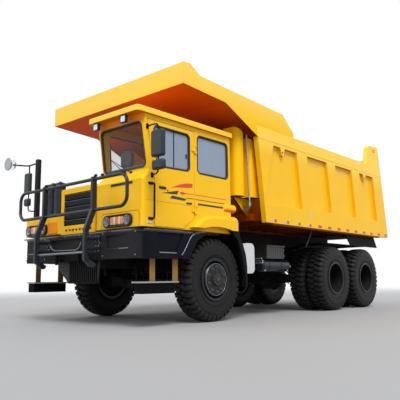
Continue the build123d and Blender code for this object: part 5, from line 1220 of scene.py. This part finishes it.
# (behind the cab's front, above the slat's foot) round a slat
SLAT = ((0.030, 0), (0.012, 0.010), (0.008, 0.088), (0.014, 0.094), (0.044, 0.104), (0.044, 0))
GUARD_RIBS, GUARD_START, GUARD_STEP = 15, -0.300, 0.050


def bumper_bolts():
    """Bolt heads and dark clamps of the bull bar, the bumper and the tow lugs."""
    clamps, forms = [], []
    clamp = lathe(STAY_CLAMP, (0, 0, 0), UP, 28, closed=True)
    for side in (-1, 1):
        for z in (1.170, 1.320):
            spot = (side * 0.665, BUMPER_FACE - 0.016, z)
            clamps.append(placed(clamp, [spot], BACK))
            forms.append(placed(bolt(0.009, 0.009), circle_places(4, 0.048, spot, FORWARD, 0.78), FORWARD))
        clamps += [placed(bolt(0.016, 0.012), [(side * 0.690, BAR_Y, z)], (side, 0, 0)) for z in (1.750, 2.225)]
        for low, high, radius, z in ((-0.100, 0.105, 0.0256, 1.040), (0.108, 0.118, 0.038, 1.006)):
            pin = [(low, radius), (high, radius), (high + 0.006, radius - 0.006)]
            clamps.append(lathe(pin, (side * 0.300, BUMPER_FACE - 0.080, z), UP, 20))
        for x, z in BUMPER_BOLTS:
            y = np.interp(x, [0.760, 1.400, 1.600], [BUMPER_FACE, BUMPER_FACE + 0.036, aft(-1.614)])
            forms.append(placed(bolt(0.009, 0.008), [(side * x, y, z)], FORWARD))
    clamps += [lathe(CLIP, (x, BAR_Y, z), LEFT, 16) for x, z in BAR_CLIPS]
    make_piece("front_bolts", forms, "dull_steel")
    make_piece("front_clamps", clamps, "trim_satin")


def bumper_trim():
    """Pale strips and a tube that paint highlights on the bumper's ledges, wings and hollow, the rolled lip and the
    wings' creases.
    """
    painted_highlights = [brick(low, high, 0.001) for low, high in FACE_HIGHLIGHT_STRIPS]
    for side in (-1, 1):
        outer = side * 1.6002
        painted_highlights += [brick((outer, aft(y0), z), (outer - side * 0.002, aft(y1), z + 0.016), 0.0004)
                   for y0, y1, z in WING_HIGHLIGHT_STRIPS]
    painted_highlights.append(tube(bend([(x, BUMPER_FACE, z) for x, z in HOLLOW], 0.015), 0.0095, 10))
    make_piece("bumper_ledges", painted_highlights, "edge_sheen")
    lip = [(x, y, LIP_Z) for x, y in LIP] + [(-x, y, LIP_Z) for x, y in reversed(LIP)]
    crease = bend(from_axle(WING_CREASE), 0.03)
    beads = [tube(bend(lip, 0.012, 3), 0.026, 14), tube(crease, 0.018, 12), tube(crease * (-1, 1, 1), 0.018, 12)]
    make_piece("bumper_beads", beads, "trim_gloss")


def hood_front():
    """The hatch, tinted orange as a painted reflection of the ground, the grille's slats with pale tubes that paint
    highlights on their edges, and the seams and slot of the cab's front.
    """
    hatch = raised(panel(-0.886, -0.602, 1.486, 1.686, 0.040, 6), CAB_FRONT + 0.002, CAB_FRONT - 0.010,
                   CAB_FRONT - 0.013, 0.004, "y")
    make_piece("front_hatch", [hatch], "hatch_orange")
    low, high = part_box("grille")
    slats = [slab(rectangle(low.x, high.x, low.z, high.z), CAB_FRONT + 0.044, CAB_FRONT + 0.056, "y")]
    lines = []
    for index in range(SLATS):
        z = low.z + index * ((high.z - low.z) / SLATS)
        slats.append(slab([(CAB_FRONT + y, z + up) for y, up in SLAT], low.x, high.x, "x", 0.001))
        # Pale tubes along the slats' top edges paint their highlights.
        lines.append(tube([(x, CAB_FRONT + 0.009, z + 0.090) for x in (low.x + 0.004, high.x - 0.004)], 0.0035, 8))
    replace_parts(make_piece("grille_slats", slats, "grille_dark"), "grille")
    make_piece("grille_lines", lines, "edge_sheen")
    loop = on_plane(panel(0.590, 1.455, 1.448, 1.700, 0.045, 6), CAB_FRONT, "y")
    seams = [band(loop, FORWARD, SEAM),
             raised(panel(0.806, 1.309, 2.110, 2.149, 0.012), CAB_FRONT + 0.012, CAB_FRONT - 0.004,
                    CAB_FRONT - 0.006, 0.004, "y")]
    make_piece("front_seams", seams, "black_plastic")


def door_fittings():
    """The door's handle and lock, and its glass's middle rail and latch."""
    y = aft(-1.236)
    glass_x = CAB_LEFT - GLASS_IN
    forms = [raised(panel(y - 0.070, y + 0.070, 2.050, 2.082, 0.012), CAB_LEFT - 0.006, CAB_LEFT + 0.008,
                    CAB_LEFT + 0.014, 0.006, "x"),
             stub((CAB_LEFT, y + 0.105, 2.035), LEFT, 0.012, 0.005, 0.006, 0.008, 16),
             slab(rectangle(aft(-0.981), aft(-0.961), 2.425, 3.000), glass_x + 0.0004, glass_x + 0.008, "x"),
             slab(panel(aft(-0.700), aft(-0.672), 2.610, 2.680, 0.008, 3), glass_x + 0.0004, glass_x + 0.014, "x",
                  0.003)]
    make_piece("door_handle", forms, "black_plastic", "door")


class TRUCK_OT_front_fittings(bpy.types.Operator):
    """Bolts, painted highlights on the bumper's ledges, lip, hatch, grille, seams, the side's reflector, the guard's
    ribs and the door's handle.
    """
    bl_idname = "truck.front_fittings"
    bl_label = "Front fittings"

    def execute(self, context):
        bumper_bolts()
        bumper_trim()
        hood_front()
        badge = raised(panel(aft(-1.545), aft(-1.458), 1.507, 1.541, 0.008, 3), CAB_LEFT + 0.0004, CAB_LEFT + 0.005,
                       CAB_LEFT + 0.008, 0.004, "x")
        make_piece("side_reflector", [badge], "marker_white")
        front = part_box("radiator_guard")[0].y
        starts = [GUARD_START + index * GUARD_STEP for index in range(GUARD_RIBS)]
        ribs = [brick((x, front - 0.012, 0.668), (x + 0.016, front + 0.001, 0.975), 0.002) for x in starts]
        ribs += [brick((-0.325, front - 0.014, z - 0.012), (0.435, front + 0.001, z + 0.012), 0.002)
                 for z in (0.655, 0.985)]
        make_piece("guard_ribs", ribs, "frame_black")
        door_fittings()
        return {"FINISHED"}


# ---- seat ----
SEAT_LEAN = math.atan2(0.125, 0.630)
FOLDS, FOLD_DEPTH = 6, 0.012     # of the seat's bellows
# (name, half size, whether it leans, (behind, above) the seat's place) of each cushion
CUSHIONS = (("seat_cushion", (0.235, 0.225, 0.062), False, (0.005, 0.390)),
            ("seat_back", (0.225, 0.052, 0.285), True, (0.255, 0.720)),
            ("seat_head_rest", (0.135, 0.045, 0.080), True, (0.340, 0.985)))
# (behind the front axle, height) round the dashboard's cowl, and (inset, behind the front axle) along the dial pod
COWL = ((-1.490, 2.330), (-1.490, 2.405), (-1.440, 2.432), (-1.270, 2.440), (-1.225, 2.410), (-1.225, 2.330))
POD = ((0.020, -1.262), (0.004, -1.256), (0, -1.240), (0, -1.190), (0.010, -1.180))


def crowned_pad(half):
    """A closed pad round the origin: a sphere's grid raised to the powers of a rounded box, with two sewn channels
    across its faces."""
    def powered(value, power):
        return np.sign(value) * np.abs(value) ** power

    up = np.linspace(-math.pi / 2, math.pi / 2, 28)[:, None]
    turn = np.linspace(-math.pi, math.pi, 44, endpoint=False)[None]
    across = powered(np.cos(up), 0.35) * powered(np.cos(turn), 0.4)
    deep = powered(np.cos(up), 0.35) * powered(np.sin(turn), 0.4)
    high = powered(np.sin(up), 0.35) * np.ones_like(turn)
    channel = 1 - 0.10 * np.exp(-((np.abs(across) - 0.45) / 0.05) ** 2)
    crown = 1 - 0.10 * (np.abs(across) ** 4)
    upright = half[2] >= half[1]
    depth = deep * half[1] * (crown * channel if upright else 1)
    height = high * half[2] * crown * (1 if upright else channel)
    points = np.stack([across * half[0], depth, height], -1)
    return outward(grid(points, wrap_columns=True, caps=True))


class TRUCK_OT_seat(bpy.types.Operator):
    """The driver's seat: cushion, back and head rest of crowned cloth on a bellows base, and the dashboard's cowl."""
    bl_idname = "truck.seat"
    bl_label = "Seat"

    def execute(self, context):
        low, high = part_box("driver_seat")
        x, y, z = (low.x + high.x) / 2, low.y + 0.230, low.z
        cos, sin = math.cos(SEAT_LEAN), math.sin(SEAT_LEAN)
        leaning, level = np.array([[1, 0, 0], [0, cos, sin], [0, -sin, cos]]), np.eye(3)
        for name, half, leans, (behind, above) in CUSHIONS:
            points, faces = crowned_pad(half)
            points = points @ (leaning if leans else level) + (x, y + behind, z + above)
            piece = make_piece(name, [(points, faces)], "seat_cloth", sharp=60)
        rows = np.linspace(0, 1, 25)
        fold = FOLD_DEPTH * np.cos(rows * 2 * math.pi * FOLDS)
        base = np.stack([0.001 + rows * 0.325, 0.160 + fold], 1)
        bellows = lathe(base, (x, y, z), UP, 32)
        stem = tube([(x, y + 0.325, z + 0.86), (x, y + 0.345, z + 0.95)], 0.012)
        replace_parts(make_piece("seat_base", [bellows, stem], "black_plastic"), "driver_seat")
        cowl = slab([(aft(y), z) for y, z in COWL], 0.500, 1.425, "x", 0.010)
        pod = plate(panel(0.560, 0.810, 2.490, 2.775, 0.085, 8), [(draw, aft(y)) for draw, y in POD], "y")
        arm = tube([(0.690, aft(-1.230), 2.400), (0.690, aft(-1.225), 2.520)], 0.022, 12)
        make_piece("dash_cowl", [cowl, pod, arm], "cabin_grey")
        return {"FINISHED"}


# ---- chassis ----
RAIL_OUT = 0.460
AIR_LINES_Z = (1.180, 1.205, 1.230)
# (behind the front axle, drop) along an air line
AIR_LINE = ((0.70, 0), (3.2, 0), (3.4, 0.03), (5.9, 0.03))
STRAPS_Y = (1.20, 1.72, 2.26)     # behind the front axle
STRAP = ((-0.0025, -0.025), (0.003, -0.025), (0.003, 0.025), (-0.0025, 0.025))
FILTERS_X = (-0.965, -0.745)
FILTER_RIB = ((-0.004, 0.097), (0.0, 0.100), (0.004, 0.097))
# (along the axis, radius) of a brake chamber
CHAMBER = ((-0.090, 0.040), (-0.090, 0.075), (-0.006, 0.082), (-0.006, 0.092), (0.006, 0.092), (0.006, 0.082),
           (0.110, 0.075), (0.125, 0.050), (0.128, 0.010))


def spring_clip(x, y, half, low, high):
    """A round clip over a spring's leaves."""
    return tube(bend([(x - half, y, low), (x - half, y, high), (x + half, y, high), (x + half, y, low)], 0.03),
                0.011, 8)


def tank_straps():
    """The fuel tank's straps, and the caps, pipes and cables of the tanks and the battery box."""
    section = panel(-1.403, -0.697, 0.617, 1.303, 0.113, 8)
    straps = [band(on_plane(section, aft(y), "y"), BACK, STRAP) for y in STRAPS_Y]
    straps.append(stub((-1.30, aft(1.05), 1.270), UP, 0.055, 0.030, 0.036, 0.048, 28))
    oil_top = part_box("hydraulic_tank")[1].z
    straps.append(stub((1.24, aft(1.0), oil_top), UP, 0.045, 0.025, 0.030, 0.038, 28))
    low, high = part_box("air_tank")
    for y in (aft(1.60), aft(2.38)):
        spot = ((low.x + high.x) / 2 + 0.08, y, low.z + 0.125 - 0.092)
        straps.append(stub(spot, (0.65, 0, -0.76), 0.018, 0.022, 0.026, 0.012, 6))
    for dy, dz in ((-0.02, 0.04), (0.02, 0.0), (0.0, -0.04)):
        y, z = aft(1.42) + dy, 1.02 + dz
        straps.append(stub((1.425, y, z), LEFT, 0.016, 0.04, 0.045, 0.011, 12))
        straps.append(tube([(1.10, y, z), (1.43, y, z)], 0.012, 10))
    for z in (1.13, 1.25):
        straps.append(stub((1.38, aft(2.245), z), BACK, 0.014, 0.03, 0.034, 0.01, 12))
        cable = bend([(1.38, aft(2.25), z), (1.38, aft(2.33), z), (1.20, aft(2.36), z - 0.03)], 0.03)
        straps.append(tube(cable, 0.009, 8))
    make_piece("tank_straps", straps, "dull_steel")


def filter_bands():
    """Bands, ribs and caps on the two air filters, and the rod between them."""
    y = CAB_FRONT + 0.125
    bands = []
    for x in FILTERS_X:
        bands += [collar((x, y, z), 0.014, 0.097, 0.1015) for z in (1.92, 2.16)]
        bands += [lathe(FILTER_RIB, (x, y, z), UP, 40, closed=True) for z in np.linspace(1.96, 2.12, 6)]
        bands.append(lathe([(-0.012, 0.030), (0.020, 0.030), (0.026, 0.022)], (x, y, 2.3875), UP, 20))
    bands.append(tube([(-0.855, y - 0.095, 1.84), (-0.855, y - 0.095, 2.33)], 0.010, 10))
    make_piece("filter_bands", bands, "black_plastic")


class TRUCK_OT_chassis_fittings(bpy.types.Operator):
    """Spring clips, brake chambers, air lines, tank straps and caps, filter bands and rail bolts."""
    bl_idname = "truck.chassis_fittings"
    bl_label = "Chassis fittings"

    def execute(self, context):
        darks, steels, lines = [], [], []
        for side in (-1, 1):
            steels += [spring_clip(side * 0.405, FRONT_AXLE_Y + dy, 0.062, 0.520, 0.815) for dy in (-0.085, 0.085)]
            for name in ("middle_left_roll", "rear_left_roll"):
                y = JOINTS[name]["pos_m"][1]
                darks.append(lathe(CHAMBER, (side * 0.700, y - 0.170, AXLE_Z + 0.150), (0, -0.95, 0.3), 28))
                steels += [spring_clip(side * 0.620, y + dy * 0.8, 0.072, 0.560, 0.800) for dy in (-0.110, 0.110)]
            damper_y = FRONT_AXLE_Y - 0.240
            darks.append(tube([(side * 0.520, damper_y, 0.640), (side * 0.500, damper_y, 1.150)], 0.034, 16))
            rail, line = side * RAIL_OUT, side * RAIL_OUT + side * 0.012
            places = [(rail, y, 1.345) for y in np.arange(aft(1.35), aft(6.1), 0.22)]
            steels.append(placed(bolt(0.011, 0.009), places, (side, 0, 0)))
            for z in AIR_LINES_Z:
                path = [(line, y, z - drop) for y, drop in AIR_LINE]
                lines.append(tube(bend(from_axle(path), 0.05), 0.0075, 8))
            lines += [brick((rail, y, 1.165), (rail + side * 0.024, y + 0.02, 1.245))
                      for y in np.arange(aft(0.9), aft(5.8), 0.7)]
        make_piece("spring_clips", steels, "nut_steel")
        make_piece("brake_chambers", darks, "frame_black")
        make_piece("air_lines", lines, "rubber_sheet")
        tank_straps()
        filter_bands()
        return {"FINISHED"}


class TRUCK_OT_finishes(bpy.types.Operator):
    """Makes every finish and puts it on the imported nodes."""
    bl_idname = "truck.finishes"
    bl_label = "Finishes"

    def execute(self, context):
        colours = context.scene.truck_colours
        make_finishes(colours, colours.dust)
        chosen = {node: finish for finish, nodes in NODE_FINISH.items() for node in nodes}
        for name, node in frame["nodes"].items():
            finish = chosen.get(name, "wheel_black" if name.startswith("rim") else "tyre_rubber")
            node.data.materials.clear()
            node.data.materials.append(FINISHES[finish])
        return {"FINISHED"}


# ---- stage ----
CAMERA_AT = (7.167, -9.112, 0.695)
CAMERA_YAW, CAMERA_PITCH, CAMERA_ROLL = 0.7216, 0.1478, -0.0104
CAMERA_LENS, SENSOR, FAR_CLIP = 47.74, 36.0, 300.0
FLOOR_REACH, FLOOR_Z = 90.0, -0.001
FLOOR_FADE = (9.0, 32.0)   # distances between which the floor turns white to the camera
SKY_COLOUR = (0.93, 0.96, 1.0, 1)
# (name, where it shines to, angle of its disc) of each lamp
LAMPS = (("key", (-0.60, 0.42, -0.95), 0.5), ("fill", (0.60, 0.75, -0.70), 0.9))


def frame_axes(first, second, third):
    """A 4x4 turn whose columns are three directions."""
    return Matrix(np.column_stack([first, second, third]).tolist()).to_4x4()


def make_floor(scene, colour):
    """A pale level floor that turns white to the camera far away."""
    corners = on_plane(np.array(rectangle(-FLOOR_REACH, FLOOR_REACH, -FLOOR_REACH, FLOOR_REACH)), FLOOR_Z, "z")
    mesh = bpy.data.meshes.new("floor")
    mesh.from_pydata(corners.tolist(), [], [(0, 1, 2, 3)])
    floor = bpy.data.objects.new("floor", mesh)
    scene.collection.objects.link(floor)
    material = bpy.data.materials.new("floor")
    mesh.materials.append(material)
    shade = Shade(material)
    distance = shade.node("ShaderNodeVectorMath", {"operation": "LENGTH"}, {0: shade.place()}, output="Value")
    seen = shade.node("ShaderNodeLightPath", output="Is Camera Ray")
    dark = tuple(c * 0.94 for c in colour)
    shade.surface(base_color=shade.blend(shade.noise(0.6, 5.0), dark, tuple(colour)), roughness=0.85)
    glow = shade.node("ShaderNodeEmission", inputs={"Color": (1, 1, 1, 1), "Strength": 1.0})
    shade.cover(distance.between(*FLOOR_FADE) * seen, glow, "Material Output")


def make_world(scene, strength):
    """Soft daylight, with plain white wherever the camera, a gloss or a pane looks past the floor."""
    scene.world = bpy.data.worlds.new("studio")
    sky = Shade(scene.world, "Background")
    path = sky.tree.nodes.new("ShaderNodeLightPath")
    camera, gloss, pane = (Wire(sky, path.outputs[f"Is {ray} Ray"]) for ray in ("Camera", "Glossy", "Transmission"))
    sky.surface(color=SKY_COLOUR, strength=strength)
    backdrop = sky.node("ShaderNodeBackground", inputs={0: (1, 1, 1, 1), 1: 1.0})
    sky.cover((camera + gloss + pane).clamped(), backdrop, "World Output")


def make_camera(scene):
    """The camera: ahead by its yaw and pitch, then rolled about that line."""
    yaw, pitch, roll = CAMERA_YAW, CAMERA_PITCH, CAMERA_ROLL
    ahead = np.array([-math.sin(yaw) * math.cos(pitch), math.cos(yaw) * math.cos(pitch), math.sin(pitch)])
    level = np.array([math.cos(yaw), math.sin(yaw), 0])
    above = np.cross(level, ahead)
    right = math.cos(roll) * level + math.sin(roll) * above
    up = math.cos(roll) * above - math.sin(roll) * level
    lens = bpy.data.cameras.new("camera")
    lens.sensor_width, lens.lens, lens.clip_end = SENSOR, CAMERA_LENS, FAR_CLIP
    scene.camera = bpy.data.objects.new("camera", lens)
    scene.camera.matrix_world = Matrix.Translation(CAMERA_AT) @ frame_axes(right, up, -ahead)
    scene.collection.objects.link(scene.camera)


class TRUCK_OT_stage(bpy.types.Operator):
    """Floor, lamps, world and camera."""
    bl_idname = "truck.stage"
    bl_label = "Stage"

    def execute(self, context):
        scene, settings = context.scene, context.scene.truck_stage
        scene.view_settings.view_transform = "Standard"
        make_floor(scene, settings.floor)
        make_world(scene, settings.sky)
        for name, towards, spread in LAMPS:
            lamp = bpy.data.lights.new(name, "SUN")
            lamp.energy, lamp.angle = getattr(settings, name), spread
            holder = bpy.data.objects.new(name, lamp)
            away = -unit(towards)
            holder.matrix_world = frame_axes(*side_axes(away), away)
            scene.collection.objects.link(holder)
        make_camera(scene)
        return {"FINISHED"}


STEPS = (TRUCK_OT_stage, TRUCK_OT_finishes, TRUCK_OT_tyres, TRUCK_OT_wheel_fittings, TRUCK_OT_window_seals,
         TRUCK_OT_wipers, TRUCK_OT_lamps, TRUCK_OT_mirrors, TRUCK_OT_stripes, TRUCK_OT_body_fittings,
         TRUCK_OT_front_fittings, TRUCK_OT_seat, TRUCK_OT_chassis_fittings)


class TRUCK_PT_panel(bpy.types.Panel):
    """The truck's settings and steps."""
    bl_idname = "TRUCK_PT_panel"
    bl_label = "Mining dump truck"
    bl_space_type = "VIEW_3D"
    bl_region_type = "UI"
    bl_category = "Truck"

    def draw(self, context):
        for name, _ in GROUPS:
            group = getattr(context.scene, name)
            for key in group.__annotations__:
                self.layout.prop(group, key)
        for step in STEPS:
            self.layout.operator(step.bl_idname)


GROUPS = (("truck_colours", TruckColours), ("truck_tyres", TruckTyres), ("truck_stage", TruckStage))


def register():
    """Registers the settings, the steps and the panel."""
    for name, group in GROUPS:
        bpy.utils.register_class(group)
        setattr(bpy.types.Scene, name, bpy.props.PointerProperty(type=group))
    for step in STEPS + (TRUCK_PT_panel,):
        bpy.utils.register_class(step)


def unregister():
    """Takes them away again."""
    for step in reversed(STEPS + (TRUCK_PT_panel,)):
        bpy.utils.unregister_class(step)
    for name, group in GROUPS:
        delattr(bpy.types.Scene, name)
        bpy.utils.unregister_class(group)


def main():
    register()
    for step in STEPS:
        group, name = step.bl_idname.split(".")
        getattr(getattr(bpy.ops, group), name)()


if __name__ == "__main__":
    main()
